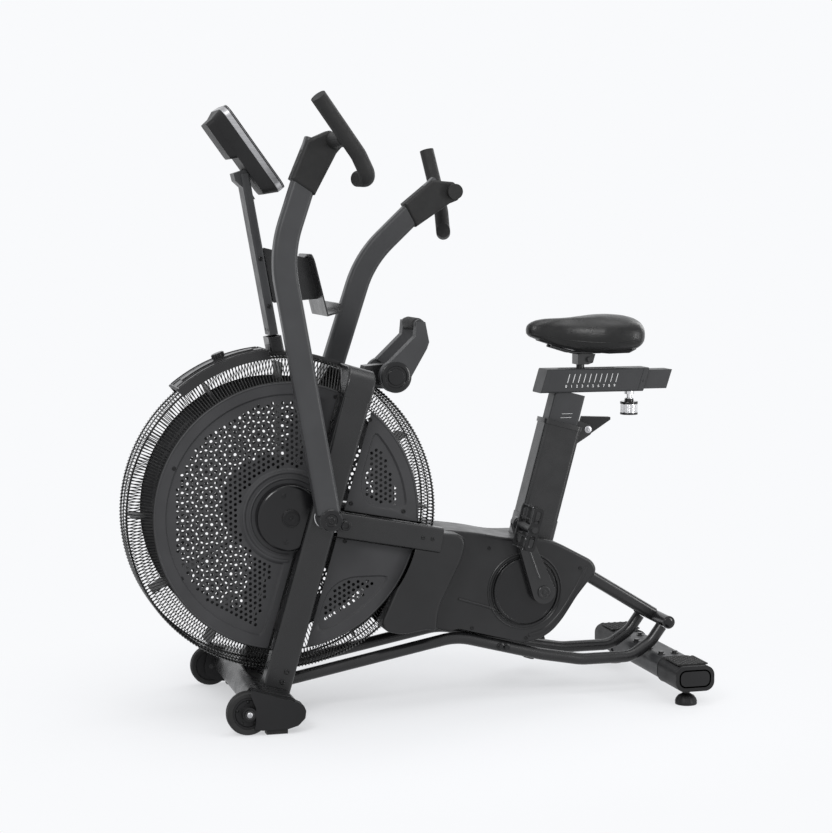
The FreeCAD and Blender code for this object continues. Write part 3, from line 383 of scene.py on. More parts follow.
def faces_tree(piece):
    """The faces of a piece, ready for finding what a ray meets."""
    mesh = piece.data
    return BVHTree.FromPolygons([v.co for v in mesh.vertices], [p.vertices[:] for p in mesh.polygons])


# ---------------------------------------------------------------- CAD nodes keep their shape
def dress_cad():
    slots = {row["node"]: row["material_slot"] for row in frame["record"]["subparts"]}
    for name, piece in frame["nodes"].items():
        coat_mesh(piece.data, SLOTS[slots[name]])


def post_x(z):
    return 35.0 - (z - 75.0) * math.tan(LEAN)


# ---------------------------------------------------------------- side panels
def from_line(x, z, offset):
    """Distance in front of a line beside the post, in mm."""
    return (x - post_x(z) - offset) * math.cos(LEAN)


RAIL_DROP = math.radians(10.8)


def above_rail(x, z):
    """Distance above the side rail's top edge, in mm; below it is negative."""
    return (z - (427.0 + (x + 108.0) * math.tan(RAIL_DROP))) * math.cos(RAIL_DROP)


def clip(points, inside):
    """The part of a closed outline on one side of a straight line."""
    out = []
    for i, p in enumerate(points):
        q = points[(i + 1) % len(points)]
        a, b = inside(*p), inside(*q)
        if a >= 0:
            out.append(p)
        if (a >= 0) != (b >= 0):
            t = a / (a - b)
            out.append((p[0] + (q[0] - p[0]) * t, p[1] + (q[1] - p[1]) * t))
    return out


def circle(radius, steps=144, centre=(0.0, FAN_Z)):
    return [(centre[0] + radius * math.cos(t), centre[1] + radius * math.sin(t)) for t in turns(steps)]


def front_area(edge):
    """Outline of the front sector, its post side drawn back by edge and its rim by the same."""
    return clip(circle(PANEL_R - edge[1]), lambda x, z: from_line(x, z, AHEAD_OF_POST) - edge[0])


def upper_area(edge):
    loop = clip(circle(PANEL_R - edge[1]), lambda x, z: -from_line(x, z, BEHIND_POST) - edge[0])
    return clip(loop, lambda x, z: above_rail(x, z) - RAIL_HALF - edge[0])


def lower_area(edge):
    loop = clip(circle(PANEL_R - edge[1]), lambda x, z: -from_line(x, z, BEHIND_POST) - edge[0])
    return clip(loop, lambda x, z: -above_rail(x, z) - RAIL_HALF - edge[0])


def front_hole(x, z):
    return 111 < math.hypot(x, z - FAN_Z) < 253 and from_line(x, z, AHEAD_OF_POST) > 36


def upper_hole(x, z):
    far = math.hypot(x, z - FAN_Z) < 251 and -from_line(x, z, BEHIND_POST) > 16
    return far and above_rail(x, z) > 58 and z < 612


def lower_hole(x, z):
    return math.hypot(x, z - FAN_Z) < 250 and -from_line(x, z, BEHIND_POST) > 11 and z < 303


def groove_loops():
    """The outer, middle and inner line of the sloping edge round each sector's pressed area."""
    made = []
    for area, low, high in ((front_area, 14.0, 24.0), (upper_area, 16.0, 24.0), (lower_area, 9.0, 24.0)):
        lines = []
        for extra in (0.0, 2.0, 4.0):
            loop = area((low + extra, high + extra))
            if area is lower_area:
                loop = clip(loop, lambda x, z: 307.0 - extra - z)
            lines.append(smooth_loop(loop, 3))
        made.append(lines)
    return made


def dent(x, z):
    """How far the plate is set in at a point, in mm."""
    pressed = any(inside(x, z, middle) for _, middle, _ in GROOVES)
    return RECESS if pressed and math.hypot(x, z - FAN_Z) > HUB_FLAT_R else 0.0


def lattice(turned):
    """Centres of the holes: staggered rows that run across on one side and upright on the other."""
    for i in range(-28, 29):
        shift = HOLE_STEP / 2 if i % 2 else 0.0
        for j in range(-25, 26):
            a, b = i * ROW_STEP, j * HOLE_STEP + shift
            yield (b, FAN_Z + a) if turned else (a, FAN_Z + b)


def perforated(outline, wanted, sector, turned, centre_hole=0.0):
    """Flat triangles of a plate with round holes, as 2-D points and faces."""
    outer, _, inner = GROOVES[sector]
    holes = [(x, z, HOLE_R, 10) for x, z in lattice(turned) if wanted(x, z)
             and all(inside(*p, inner) for p in circle(HOLE_R + 1.5, 6, (x, z)))]
    if centre_hole:
        holes.append((0.0, FAN_Z, centre_hole, 48))
    loops = [circle(r, n, (x, z)) for x, z, r, n in holes]
    loops += [outer, inner]
    if centre_hole:
        loops += [circle(HUB_FLAT_R - 2), circle(HUB_FLAT_R + 2)]
    verts, faces = flat_triangles([outline] + loops)
    grid = {}
    for x, z, r, _ in holes:
        grid.setdefault((round(x / 40), round(z / 40)), []).append((x, z, r))
    kept = [f for f in faces if in_plate(verts, f, outline, grid)]
    return verts, kept


def flat_triangles(loops):
    """Triangles between closed 2-D outlines, both inside and outside the holes."""
    points, edges = [], []
    for loop in loops:
        first = len(points)
        points += [Vector(p) for p in loop]
        edges += [(first + i, first + (i + 1) % len(loop)) for i in range(len(loop))]
    verts, _, faces, _, _, _ = delaunay_2d_cdt(points, edges, [], 0, 1e-5)
    return verts, faces


def in_plate(verts, face, outline, grid):
    """Whether a triangle's middle is on the plate and in none of its holes; grid sorts these by place."""
    x = sum(verts[i][0] for i in face) / len(face)
    z = sum(verts[i][1] for i in face) / len(face)
    for i in range(-1, 2):
        for j in range(-1, 2):
            for hx, hz, r in grid.get((round(x / 40) + i, round(z / 40) + j), []):
                if math.hypot(x - hx, z - hz) < r * 0.9:
                    return False
    hub_hole = (0.0, FAN_Z, HUB_HOLE_R) in grid.get((0, round(FAN_Z / 40)), [])
    if hub_hole and math.hypot(x, z - FAN_Z) < HUB_HOLE_R - 1:
        return False
    return inside(x, z, outline)


def inside(x, z, outline):
    odd = False
    for i, (x0, z0) in enumerate(outline):
        x1, z1 = outline[(i + 1) % len(outline)]
        if (z0 > z) != (z1 > z) and x < (x1 - x0) * (z - z0) / (z1 - z0) + x0:
            odd = not odd
    return odd


def smooth_loop(points, rounds=3):
    """A closed outline with its corners cut in until they look round."""
    for _ in range(rounds):
        out = []
        for i, p in enumerate(points):
            q = points[(i + 1) % len(points)]
            if math.hypot(q[0] - p[0], q[1] - p[1]) > 16:
                out += [(p[0] + (q[0] - p[0]) * t, p[1] + (q[1] - p[1]) * t) for t in (0.25, 0.75)]
            else:
                out.append(((p[0] + q[0]) / 2, (p[1] + q[1]) / 2))
        points = out
    return points


def side_panels():
    """Pressed steel covers: perforated sectors, each set in inside a sloping edge."""
    for kind, areas in (("front", ((0, front_area, front_hole),)),
                        ("rear", ((1, upper_area, upper_hole), (2, lower_area, lower_hole)))):
        shape = Shape()
        for side in SIDES.values():
            for sector, outline_of, is_hole in areas:
                outline = outline_of((0.0, 0.0))
                centre = HUB_HOLE_R if kind == "front" else 0.0
                verts, faces = perforated(outline, is_hole, sector, side < 0, centre_hole=centre)
                deep = [PANEL_Y - dent(v[0], v[1]) for v in verts]
                face = [at(v[0], side * y, v[1]) for v, y in zip(verts, deep)]
                back = [at(v[0], side * (y - 1.5), v[1]) for v, y in zip(verts, deep)]
                if side > 0:
                    two_faced(shape, face, back, faces)
                else:
                    two_faced(shape, back, face, faces)
        piece = shape.done("pressed_%s_panels" % kind, "frame", "panel_grey")
        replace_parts(piece, kind + "_panels")
    rims()


def rims():
    """Rolled rims and the raised rings round the hub."""
    shape = Shape()
    for side in SIDES.values():
        arcs = [[at(x, side * (PANEL_Y - 1.0), z) for x, z in rim_run(area)] for area in
                (front_area, upper_area, lower_area)]
        for run in arcs:
            shape.sweep(run, 2.4, steps=8)
        hub = [p for p in circle(98.5, 96) if from_line(*p, AHEAD_OF_POST) > 4]
        start = max(range(len(hub)), key=lambda i: (Vector(hub[i]) - Vector(hub[i - 1])).length)
        hub = hub[start:] + hub[:start]
        shape.bead([at(x, side * PANEL_Y, z) for x, z in hub], 8.0, 2.4, Y * side)
        tight = [(x * 0.86, FAN_Z + (z - FAN_Z) * 0.86) for x, z in hub]
        tight = [p for p in tight if from_line(*p, AHEAD_OF_POST) > 4]
        shape.bead([at(x, side * PANEL_Y, z) for x, z in tight], 6.0, 2.0, Y * side)
    shape.done("panel_rims", "frame", "panel_grey")


def rim_run(area):
    """The round edge of one sector, in order."""
    outline = area((0.0, 1.2))
    on_rim = [abs(math.hypot(x, z - FAN_Z) - PANEL_R + 1.2) < 0.001 for x, z in outline]
    start = next(i for i in range(len(outline)) if on_rim[i] and not on_rim[i - 1])
    turned = outline[start:] + outline[:start]
    return [p for p, k in zip(turned, on_rim[start:] + on_rim[:start]) if k]


GROOVES = groove_loops()


# ---------------------------------------------------------------- cage
def solid_test(name):
    """Whether a point is in a CAD solid, counted by the faces crossed."""
    piece = frame["nodes"][name]
    tree = faces_tree(piece)
    way = Vector((0.31, 0.83, 0.46)).normalized()

    def test(point):
        hits = 0
        spot = point
        while hits < 60:
            found = tree.ray_cast(spot, way)
            if found[0] is None:
                return hits % 2 == 1
            hits += 1
            spot = found[0] + way * 1e-5
        return False

    return test


def wire_points(angle):
    """One bent wire from the left panel's rim over the crown to the right one's, in small steps."""
    corners = [(295.3, 106.0), (347.0, 58.0), (CAGE_R - 1.4, 53.0), (CAGE_R - 1.4, -53.0), (347.0, -58.0),
               (295.3, -106.0)]
    run = []
    for (r0, y0), (r1, y1) in zip(corners, corners[1:]):
        steps = max(1, int(math.hypot(r1 - r0, y1 - y0) / 12))
        run += [(r0 + (r1 - r0) * k / steps, y0 + (y1 - y0) * k / steps) for k in range(steps)]
    run.append(corners[-1])
    return [at(r * math.cos(angle), y, FAN_Z + r * math.sin(angle)) for r, y in run]


def in_rail(p):
    x, y, z = (p.x - FAN_X) / MM, abs(p.y / MM), p.z / MM
    return 97 < y < 139 and -352 < x < -100 and abs(above_rail(x, z)) < 30


def stretches(points, blocked):
    """The runs of points that aren't blocked."""
    run = []
    for p in points:
        if blocked(p):
            if len(run) > 1:
                yield run
            run = []
        else:
            run.append(p)
    if len(run) > 1:
        yield run


def cage():
    in_arch = solid_test("top_arch")

    def blocked(p):
        x, y, z = (p.x - FAN_X) / MM, p.y / MM, p.z / MM
        belt = -362 < x < -285 and -64 < y < -46 and 262 < z < 386
        return belt or in_rail(p) or in_arch(p)

    shape = Shape()
    for i in range(WIRES):
        for run in stretches(wire_points(2 * math.pi * (i + 0.5) / WIRES), blocked):
            shape.sweep(run, WIRE_R, steps=6)
    for y, r, thick in ((105.0, 296.0, 1.6), (50.0, 347.0, 2.3), (0.0, 347.8, 1.6), (-50.0, 347.0, 2.3),
                        (-105.0, 296.0, 1.6)):
        ring = [at(r * math.cos(t), y, FAN_Z + r * math.sin(t)) for t in turns(240)]
        first = next((k for k in range(240) if blocked(ring[k])), None)
        if first is None:
            shape.sweep(ring, thick, closed=True, steps=6)
        else:
            for run in stretches(ring[first:] + ring[:first], blocked):
                shape.sweep(run, thick, steps=6)
    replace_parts(shape.done("wire_cage", "frame", "cage_wire"), "fan_cage")


def fan_disc():
    """Pressed disc that carries the spokes of the fan."""
    shape = Shape()
    shape.lathe(at(0, -2, FAN_Z), Y, [(30.0, 0), (60, 0), (66, 3), (108, 3), (115, 0), (116, 0), (116, 2),
                                      (108, 5), (66, 5), (60, 2), (30.0, 2)], 72)
    for i in range(12):
        a = math.radians(30 * i + 15)
        for y, way in ((3, Y), (1, -Y)):
            shape.dome(at(90 * math.cos(a), y, FAN_Z + 90 * math.sin(a)), way, 5, 3, 16)
    shape.done("fan_disc", "fan", "blade_steel")


# ---------------------------------------------------------------- hub covers, arch and guard
def hub_trim():
    shape = Shape()
    screws = Shape()
    for side in SIDES.values():
        out = Y * side
        outline = [(0, -2), (19, -2), (19, 2.4), (17.5, 3.2), (15.5, 3.2), (15, 1.2), (6, 1.2), (5.4, 0.4),
                   (0, 0.4)]
        shape.lathe(at(0, side * 140, FAN_Z), out, outline, 40)
        screws.dome(at(0, side * 140.4, FAN_Z), out, 2.6, 1.6, 16)
        for a in (72, -78):
            t = math.radians(a)
            screws.cap_screw(at(53 * math.cos(t), side * 137, FAN_Z + 53 * math.sin(t)), out, 5.2, 1.6)
    shape.done("hub_caps", "frame", "black_plastic")
    screws.done("hub_screws", "frame", "gloss_black")


def panel_screws():
    shape = Shape()
    spots = [(-107, 708), (-186, 655), (-142, 470), (-262, 448), (-128, 386), (250, 560), (236, 318)]
    for side in SIDES.values():
        for x, z in spots:
            shape.cap_screw(at(x, side * (PANEL_Y - dent(x, z)), z), Y * side, 4.6, 2.2)
    shape.done("panel_screws", "frame", "black_plastic")


def grab_trim():
    """Raised rings on the hub discs of the folding handle, and its foam grip's collars."""
    shape = Shape()
    x, z = GRAB_HUB
    for side in SIDES.values():
        outline = [(0, -2), (34, -2), (34, 0.6), (30, 2.6), (25, 2.6), (24, 0.8), (19, 0.8), (18, 3.4),
                   (0, 4.2)]
        shape.lathe(at(x, side * 74, z), Y * side, outline, 56)
    shape.done("grab_hub_rings", "grab_handle", "gloss_black")
    foam = Shape()
    outline = [(12, 0), (14.2, 1.5), (14.6, 4), (14.6, 84), (14.2, 86.5), (12, 88)]
    foam.lathe(at(-313, -44, 861), Y, outline, 32)
    foam.done("grab_foam", "grab_handle", "grip_rubber")


def guard_trim():
    """Stiffening ribs and end rolls of the wind guard."""
    shape = Shape()
    for y in (-58, -30, 30, 58):
        path = [at(366 * math.cos(t), y, FAN_Z + 366 * math.sin(t)) for t in
                [math.radians(51 + 33 * k / 20) for k in range(21)]]
        shape.sweep(path, 1.6, steps=8)
    for a in (50.3, 84.7):
        t = math.radians(a)
        path = [at(364.5 * math.cos(t), y, FAN_Z + 364.5 * math.sin(t)) for y in (-60, 0, 60)]
        shape.sweep(path, 2.6, steps=10)
    shape.done("guard_ribs", "frame", "black_plastic")
    knob = Shape()
    t = math.radians(69)
    out = Vector((math.cos(t), 0, math.sin(t)))
    base = at(369 * math.cos(t), 0, FAN_Z + 369 * math.sin(t))
    for a in turns(12):
        side = Y * math.cos(a) + out.cross(Y) * math.sin(a)
        foot = base + side * 13 * MM
        knob.sweep([foot + out * 1.5 * MM, foot + out * 10.5 * MM], 2.0, steps=8)
    knob.done("guard_knob_ribs", "frame", "black_plastic")


# ---------------------------------------------------------------- bolts of the frame
def frame_bolts():
    shape = Shape()
    for side in SIDES.values():
        out = Y * side
        shape.cap_screw(at(-122, side * 141, 425), out, 11, 3.0)
        for x, z in ((14, 110), (24, 88)):
            shape.cap_screw(at(x, side * 152, z), out, 6, 3.2)
        for x, z in ((-300, 391), (-322, 387)):
            shape.cap_screw(at(x, side * 136, z), out, 4.5, 2.0)
    for x, z in ((-498, 124), (-512, 122)):
        shape.hex_bolt(at(x, 84, z), Y, 6, 6)
    shape.done("frame_bolts", "frame", "steel", SLOTS["gloss_black"])


def pivot_rings():
    """Bright spacers at the arms' pivots and domed caps on their ends."""
    for name, side in SIDES.items():
        out = Y * side
        x, z = PIVOT
        ring = Shape()
        outline = [(20.2, 0), (24.5, 0), (25.5, 1), (25.5, 8), (24.5, 9), (20.2, 9)]
        ring.lathe(at(x, side * 156, z), out, outline, 48)
        ring.done(name + "_pivot_ring", name + "_arm", "chrome_trim")
        cap = Shape()
        outline = [(0, -2), (24, -2), (24, 0.6), (22, 2.6), (14, 3.2), (13, 1.6), (0, 1.6)]
        cap.lathe(at(x, side * 218, z), out, outline, 48)
        cap.cap_screw(at(x, side * 219, z), out, 8, 3.4)
        cap.done(name + "_pivot_cap", name + "_arm", "gloss_black")


# ---------------------------------------------------------------- plates with holes
def rounded(half_u, half_v, r, steps=5, mid=(0.0, 0.0)):
    """A rectangle with round corners, as points round its middle."""
    out = []
    for cu, cv, start in ((1, 1, 0), (-1, 1, 90), (-1, -1, 180), (1, -1, 270)):
        for k in range(steps + 1):
            t = math.radians(start + 90.0 * k / steps)
            u = mid[0] + cu * (half_u - r) + r * math.cos(t)
            v = mid[1] + cv * (half_v - r) + r * math.sin(t)
            out.append((u, v))
    return out


def plate(shape, outline, holes, front, back):
    """A flat plate with holes; front and back give the place of a 2-D point on its two faces."""
    verts, faces = flat_triangles([outline] + list(holes))
    kept = []
    for face in faces:
        u = sum(verts[i][0] for i in face) / len(face)
        v = sum(verts[i][1] for i in face) / len(face)
        if inside(u, v, outline) and not any(inside(u, v, hole) for hole in holes):
            kept.append(face)
    two_faced(shape, [front(v[0], v[1]) for v in verts], [back(v[0], v[1]) for v in verts], kept)


def two_faced(shape, top, low, faces):
    """Both faces of a plate and the walls of its edges and holes."""
    n = len(top)
    both = [list(f) for f in faces] + [[n + i for i in reversed(f)] for f in faces]
    ways = {(a, face[(i + 1) % len(face)]) for face in faces for i, a in enumerate(face)}
    both += [[b, a, n + a, n + b] for a, b in sorted(ways) if (b, a) not in ways]
    shape.add(top + low, both)


# ---------------------------------------------------------------- pedals
PEDAL_TURN = math.radians(75.0)


def pedal_detail(name, side, tip):
    """Open cage with toothed rails round a barrel, seen from its end as a frame with two windows."""
    ca, sa = math.cos(PEDAL_TURN), math.sin(PEDAL_TURN)

    def spot(u, y, v):
        return at(tip[0] + u * ca + v * sa, side * y, tip[1] - u * sa + v * ca)

    shape = Shape()
    windows = [rounded(13.5, 6.6, 4.0, mid=(27.5, 0)), rounded(13.5, 6.6, 4.0, mid=(-27.5, 0))]
    frame_loop = rounded(49.0, 12.0, 8.0)
    plate(shape, frame_loop, windows, lambda u, v: spot(u, 220, v), lambda u, v: spot(u, 215, v))
    bore = [(8.2 * math.cos(t), 8.2 * math.sin(t)) for t in turns(24)]
    plate(shape, frame_loop, windows + [bore], lambda u, v: spot(u, 137, v), lambda u, v: spot(u, 132, v))
    for u0, deep in ((-47.5, 12.6), (-20.0, 10.5), (20.0, 10.5), (47.5, 12.6)):
        teeth = toothed(136.0, 216.0, deep)
        shape.prism([spot(u0 - 1.6, y, v) for y, v in teeth], spot(3.2, 0, 0) - spot(0, 0, 0))
    for y0 in (158.0, 194.0):
        web = [spot(-46, y0, -4), spot(-46, y0, 4), spot(46, y0, 4), spot(46, y0, -4)]
        shape.prism(web, Y * (3 * MM * side))
    outline = [(7.2, 0), (12.5, 0), (13, 3), (11, 10), (11, 66), (13, 74), (13, 82), (7.2, 82)]
    shape.lathe(spot(0, 134, 0), Y * side, outline, 32)
    shape.cap_screw(spot(0, 219.5, 0), Y * side, 8.5, 1.8)
    for u0 in (-49.0, 49.0):
        shape.box_at(spot, u0, (160.0, 196.0), (-7.0, 7.0), 1.6)
    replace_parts(shape.done(name + "_cage", name, "black_plastic"), name)
    pins = Shape()
    for u0 in (-47.5, 47.5):
        for y0 in (144.0, 176.0, 208.0):
            for way in (1, -1):
                out = (spot(0, 0, way) - spot(0, 0, 0)).normalized()
                pins.dome(spot(u0, y0, way * 10.5), out, 1.6, 2.2, 12)
    pins.done(name + "_studs", name, "steel")


def toothed(y0, y1, deep):
    """Outline of a rail whose two long edges are cut into teeth."""
    count = 12
    step = (y1 - y0) / count
    top = []
    for k in range(count):
        a = y0 + k * step
        top += [(a, deep - 3.2), (a + step * 0.3, deep), (a + step * 0.7, deep)]
    top.append((y1, deep - 3.2))
    return top + [(y, -v) for y, v in reversed(top)]


# ---------------------------------------------------------------- crank
def crank_covers():
    """Round plates on the shroud's sides, each inside a lip and a moulded ring."""
    cover = Shape()
    ring = Shape()
    for side in SIDES.values():
        base = at(COVER[0], side * 84, COVER[1])
        disc = circle(74.0, 96, COVER)
        hole = circle(12.6, 32, CRANK)
        plate(cover, disc, [hole], lambda u, v: at(u, side * 89.6, v), lambda u, v: at(u, side * 84.2, v))
        cover.lathe(base, Y * side, [(70, 0.3), (75.5, 0.3), (75.5, 4.4), (74.3, 5.7), (70, 5.7)], 96)
        cover.lathe(base, Y * side, [(78.2, 0.3), (80, 0.3), (80, 3.6), (79.1, 4.2), (78.2, 3.6)], 96)
        ring.lathe(base, Y * side, [(84.5, -1), (90, -1), (89.6, 1.0), (87.2, 2.4), (84.9, 1.0)], 96)
    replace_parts(cover.done("crank_cover_discs", "frame", "gloss_black"), "crank_covers")
    ring.done("crank_cover_rings", "frame", "shroud_plastic")


def crank_trim():
    """Caps, a low rib along each arm and the collars of the pedals' spindles."""
    caps = Shape()
    x, z = CRANK
    for side, foot in ((1, 90), (-1, 270)):
        outline = [(0, -2), (15, -2), (15, 2.4), (13.4, 3.6), (9.5, 3.6), (9, 2.6), (0, 2.6)]
        caps.lathe(at(x, side * 112, z), Y * side, outline, 32)
        caps.hex_bolt(at(x, side * 113.6, z), Y * side, 5.4, 2.4, washer=False)
        lean = math.radians(foot - CRANK_LEAN)
        way = math.cos(lean), math.sin(lean)
        run = [at(x + r * way[0], side * 111.6, z + r * way[1]) for r in (34, 60, 90, 120, 146)]
        caps.bead(run, 9.0, 1.6, Y * side)
        tip = tip_of(foot)
        outline = [(7.1, -1), (12.5, -1), (12.5, 3), (11, 5), (7.1, 5)]
        caps.lathe(at(tip[0], side * 112, tip[1]), Y * side, outline, 32)
    caps.done("crank_caps", "crank", "crank_black")


def tip_of(degrees):
    """The pedal's axis on a crank arm."""
    t = math.radians(degrees - CRANK_LEAN)
    return CRANK[0] + CRANK_L * math.cos(t), CRANK[1] + CRANK_L * math.sin(t)


# ---------------------------------------------------------------- lower rails
def arc_path(points, radii):
    """Straight runs with round bends between them, as points in mm."""
    out = [Vector(points[0])]
    for i, radius in enumerate(radii, 1):
        p = Vector(points[i])
        a = (Vector(points[i - 1]) - p).normalized()
        b = (Vector(points[i + 1]) - p).normalized()
        half = a.angle(b) / 2
        reach = radius / math.tan(half)
        centre = p + (a + b).normalized() * (radius / math.sin(half))
        first, last = p + a * reach - centre, p + b * reach - centre
        steps = max(6, int(first.angle(last) / math.radians(2.5)))
        out += [centre + first.slerp(last, k / steps).normalized() * radius for k in range(steps + 1)]
    return out + [Vector(points[-1])]


def lower_rails():
    for name, side in SIDES.items():
        node = name + "_lower_rail"
        front = (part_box(node)[1].x - FAN_X) / MM - 0.5
        points = [(front, 70.0, 72.0 + (6.0 - front) * 78.0 / 404.0), (-398, 70, 150), (-600, 70, 98),
                  (-700, 70, 80), (-822, 70, 80), (-872, 70, 112), (-898, 70, 148)]
        shape = Shape()
        path = [at(x, side * y, z) for x, y, z in arc_path(points, (150.0, 300.0, 150.0, 60.0, 80.0))]
        shape.sweep(path, 13.5, steps=32)
        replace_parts(shape.done(name + "_tube", "frame", "frame_black"), node)


# ---------------------------------------------------------------- saddle
SADDLE = [(-583.5, 12, 832, 852), (-590, 20, 827, 858.5), (-606, 27, 822, 864.5), (-640, 33, 811, 866.5),
          (-668, 39, 803, 867), (-694, 50, 797, 868.5), (-722, 66, 792, 871.5), (-752, 80, 790, 874.5),
          (-785, 87, 790, 875.5), (-815, 88, 791, 875), (-838, 83, 795, 870), (-852, 68, 804, 862),
          (-857.5, 46, 815, 851)]


def saddle_rings():
    """Half-round sections from nose to tail: full top, drawn-in sides, flat underneath."""
    rings = []
    for x, half, low, high in SADDLE:
        ring = []
        for t in turns(28):
            c, s = math.cos(t), math.sin(t)
            y = half * math.copysign(abs(c) ** 0.8, c)
            if s >= 0:
                z = low + (high - low) * (0.42 + 0.58 * s ** 0.75)
            else:
                z = low + (high - low) * 0.42 * (1 - abs(s) ** 0.5)
                y *= 1 - 0.16 * abs(s)
            ring.append(at(x, y, z))
        rings.append(ring)
    return rings


def saddle():
    rings = saddle_rings()
    shape = Shape()
    n = len(rings[0])
    faces = [list(range(n)), [(len(rings) - 1) * n + j for j in range(n)][::-1]]
    shape.add([v for r in rings for v in r], faces + ring_faces(len(rings), n))
    pad = shape.done("saddle_cushion", "saddle", "saddle_skin")
    remesh = pad.modifiers.new("remesh", "REMESH")
    remesh.mode = "VOXEL"
    remesh.voxel_size = 0.0045
    smooth = pad.modifiers.new("even", "SMOOTH")
    smooth.factor = 0.6
    smooth.iterations = 12
    puffed(pad)
    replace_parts(pad, "saddle_pad")
    saddle_trim(pad)


def puffed(pad):
    """Blows the cushion up a little as a stuffed skin, with the result kept in its mesh."""
    pad.data = baked(pad)
    pad.modifiers.clear()
    start = [v.co.copy() for v in pad.data.vertices]
    cloth = pad.modifiers.new("cloth", "CLOTH")
    cloth.settings.use_pressure = True
    cloth.settings.uniform_pressure_force = 4.0
    cloth.settings.tension_stiffness = 40
    cloth.settings.compression_stiffness = 40
    cloth.settings.effector_weights.gravity = 0.0
    for step in range(1, 21):
        bpy.context.scene.frame_set(step)
    pad.data = baked(pad)
    pad.modifiers.clear()
    bpy.context.scene.frame_set(1)
    limit = 3.0 * MM
    for v, was in zip(pad.data.vertices, start):
        move = v.co - was
        if move.length > limit:
            v.co = was + move.normalized() * limit
    finer = pad.modifiers.new("finer", "SUBSURF")
    finer.levels = finer.render_levels = 1
    pad.data = baked(pad)
    pad.modifiers.clear()
    coat_mesh(pad.data, SLOTS["saddle_skin"])


def skin_loop(pad, share, count=120):
    """Points on the cushion's skin all round, at a share of its height from its lower edge."""
    tree = faces_tree(pad)
    found = []
    for t in turns(count):
        x = -720 + 120 * math.cos(t)
        low, high = saddle_heights(x)
        y = 20 * math.sin(t)
        way = Vector((math.cos(t) * 0.6, math.sin(t), 0)).normalized()
        hit = tree.ray_cast(at(x, y, low + (high - low) * share), way)
        if hit[0] is not None:
            found.append(hit[0])
    return found


def saddle_heights(x):
    for (x0, _, low0, high0), (x1, _, low1, high1) in zip(SADDLE, SADDLE[1:]):
        if x1 <= x <= x0:
            t = (x - x0) / (x1 - x0)
            return low0 + (low1 - low0) * t, high0 + (high1 - high0) * t
    return SADDLE[-1][2:]


def saddle_trim(pad):
    seam = Shape()
    seam.sweep(skin_loop(pad, 0.30), 1.1, closed=True, steps=8)
    seam.done("saddle_seam", "saddle", "saddle_skin")
    shell = Shape()
    rings = [(-612, 17, 818, 824), (-660, 26, 803, 809), (-712, 44, 793, 799), (-770, 62, 788, 795),
             (-820, 60, 789, 796), (-842, 42, 796, 803)]
    loops = [[at(x, half * c, z) for c, z in ((-1, b), (-0.8, a), (0.8, a), (1, b))]
             for x, half, a, b in rings]
    verts = [v for loop in loops for v in loop]
    faces = [[0, 1, 2, 3], [20, 23, 22, 21]]
    shell.add(verts, faces + ring_faces(len(loops), 4))
    shell.done("saddle_base", "saddle", "black_plastic")


# ---------------------------------------------------------------- seat fittings
HOUSING_SLOPE = 16.0 / 55.0


def on_housing(side, s, drop):
    """A point on the slider housing's side: s mm back from its top front corner, drop mm down."""
    return at(-626 - s + drop * HOUSING_SLOPE, side * 31.0, 753.0 - drop)


def digits(text, size, place, right, up, body, name):
    """Raised numbers with no lettering, flat on a face."""
    curve = bpy.data.curves.new(name, "FONT")
    curve.body = text
    curve.size = size * MM
    curve.align_x = "CENTER"
    curve.extrude = 0.12 * MM
    holder = bpy.data.objects.new(name + "_text", curve)
    out = right.cross(up)
    holder.matrix_world = Matrix.Translation(place) @ Matrix((right, up, out)).transposed().to_4x4()
    bpy.context.scene.collection.objects.link(holder)
    bpy.context.view_layer.update()
    mesh = baked(holder)
    mesh.transform(holder.matrix_world)
    bpy.data.objects.remove(holder)
    settle(name, mesh, body, "chrome_trim", WHITE_MARK)


def slider_marks():
    """Ten setting lines with their numbers on both sides, end frames and screws."""
    lines = Shape()
    frames = Shape()
    for side in SIDES.values():
        for k in range(10):
            s = 58 + 13.2 * k
            a, b = on_housing(side, s, 12), on_housing(side, s, 32)
            lines.sweep([a, b], 0.75, steps=6)
            right = Vector((-side, 0, 0))
            digits(str(k), 9.0, on_housing(side, s, 43) + Y * (side * 0.1 * MM), right, Z, "seat_post",
                   "slider_number_%s_%d" % ("l" if side > 0 else "r", k))
        for s0, s1 in ((0.6, 12.0), (238.0, 249.6)):
            outline = [on_housing(side, s0, 2), on_housing(side, s1, 2), on_housing(side, s1, 53),
                       on_housing(side, s0, 53)]
            frames.prism([p - Y * (side * 0.5 * MM) for p in outline], Y * (side * 1.3 * MM))
        frames.cap_screw(on_housing(side, 244, 30), Y * side, 2.8, 1.6)
    lines.done("slider_lines", "seat_post", "chrome_trim", WHITE_MARK)
    frames.done("slider_frames", "seat_post", "slate_metal")


def seat_x(z):
    return -581.0 - (z - 300.0) * math.tan(math.radians(14.8))


def post_marks():
    lines = Shape()
    for side in SIDES.values():
        for k in range(2):
            z = 640 + 9 * k
            ends = [at(seat_x(z) + u, side * 24.78, z) for u in (-16, 10)]
            lines.sweep(ends, 0.45, steps=8)
    lines.done("post_lines", "seat_post", "chrome_trim", WHITE_MARK)


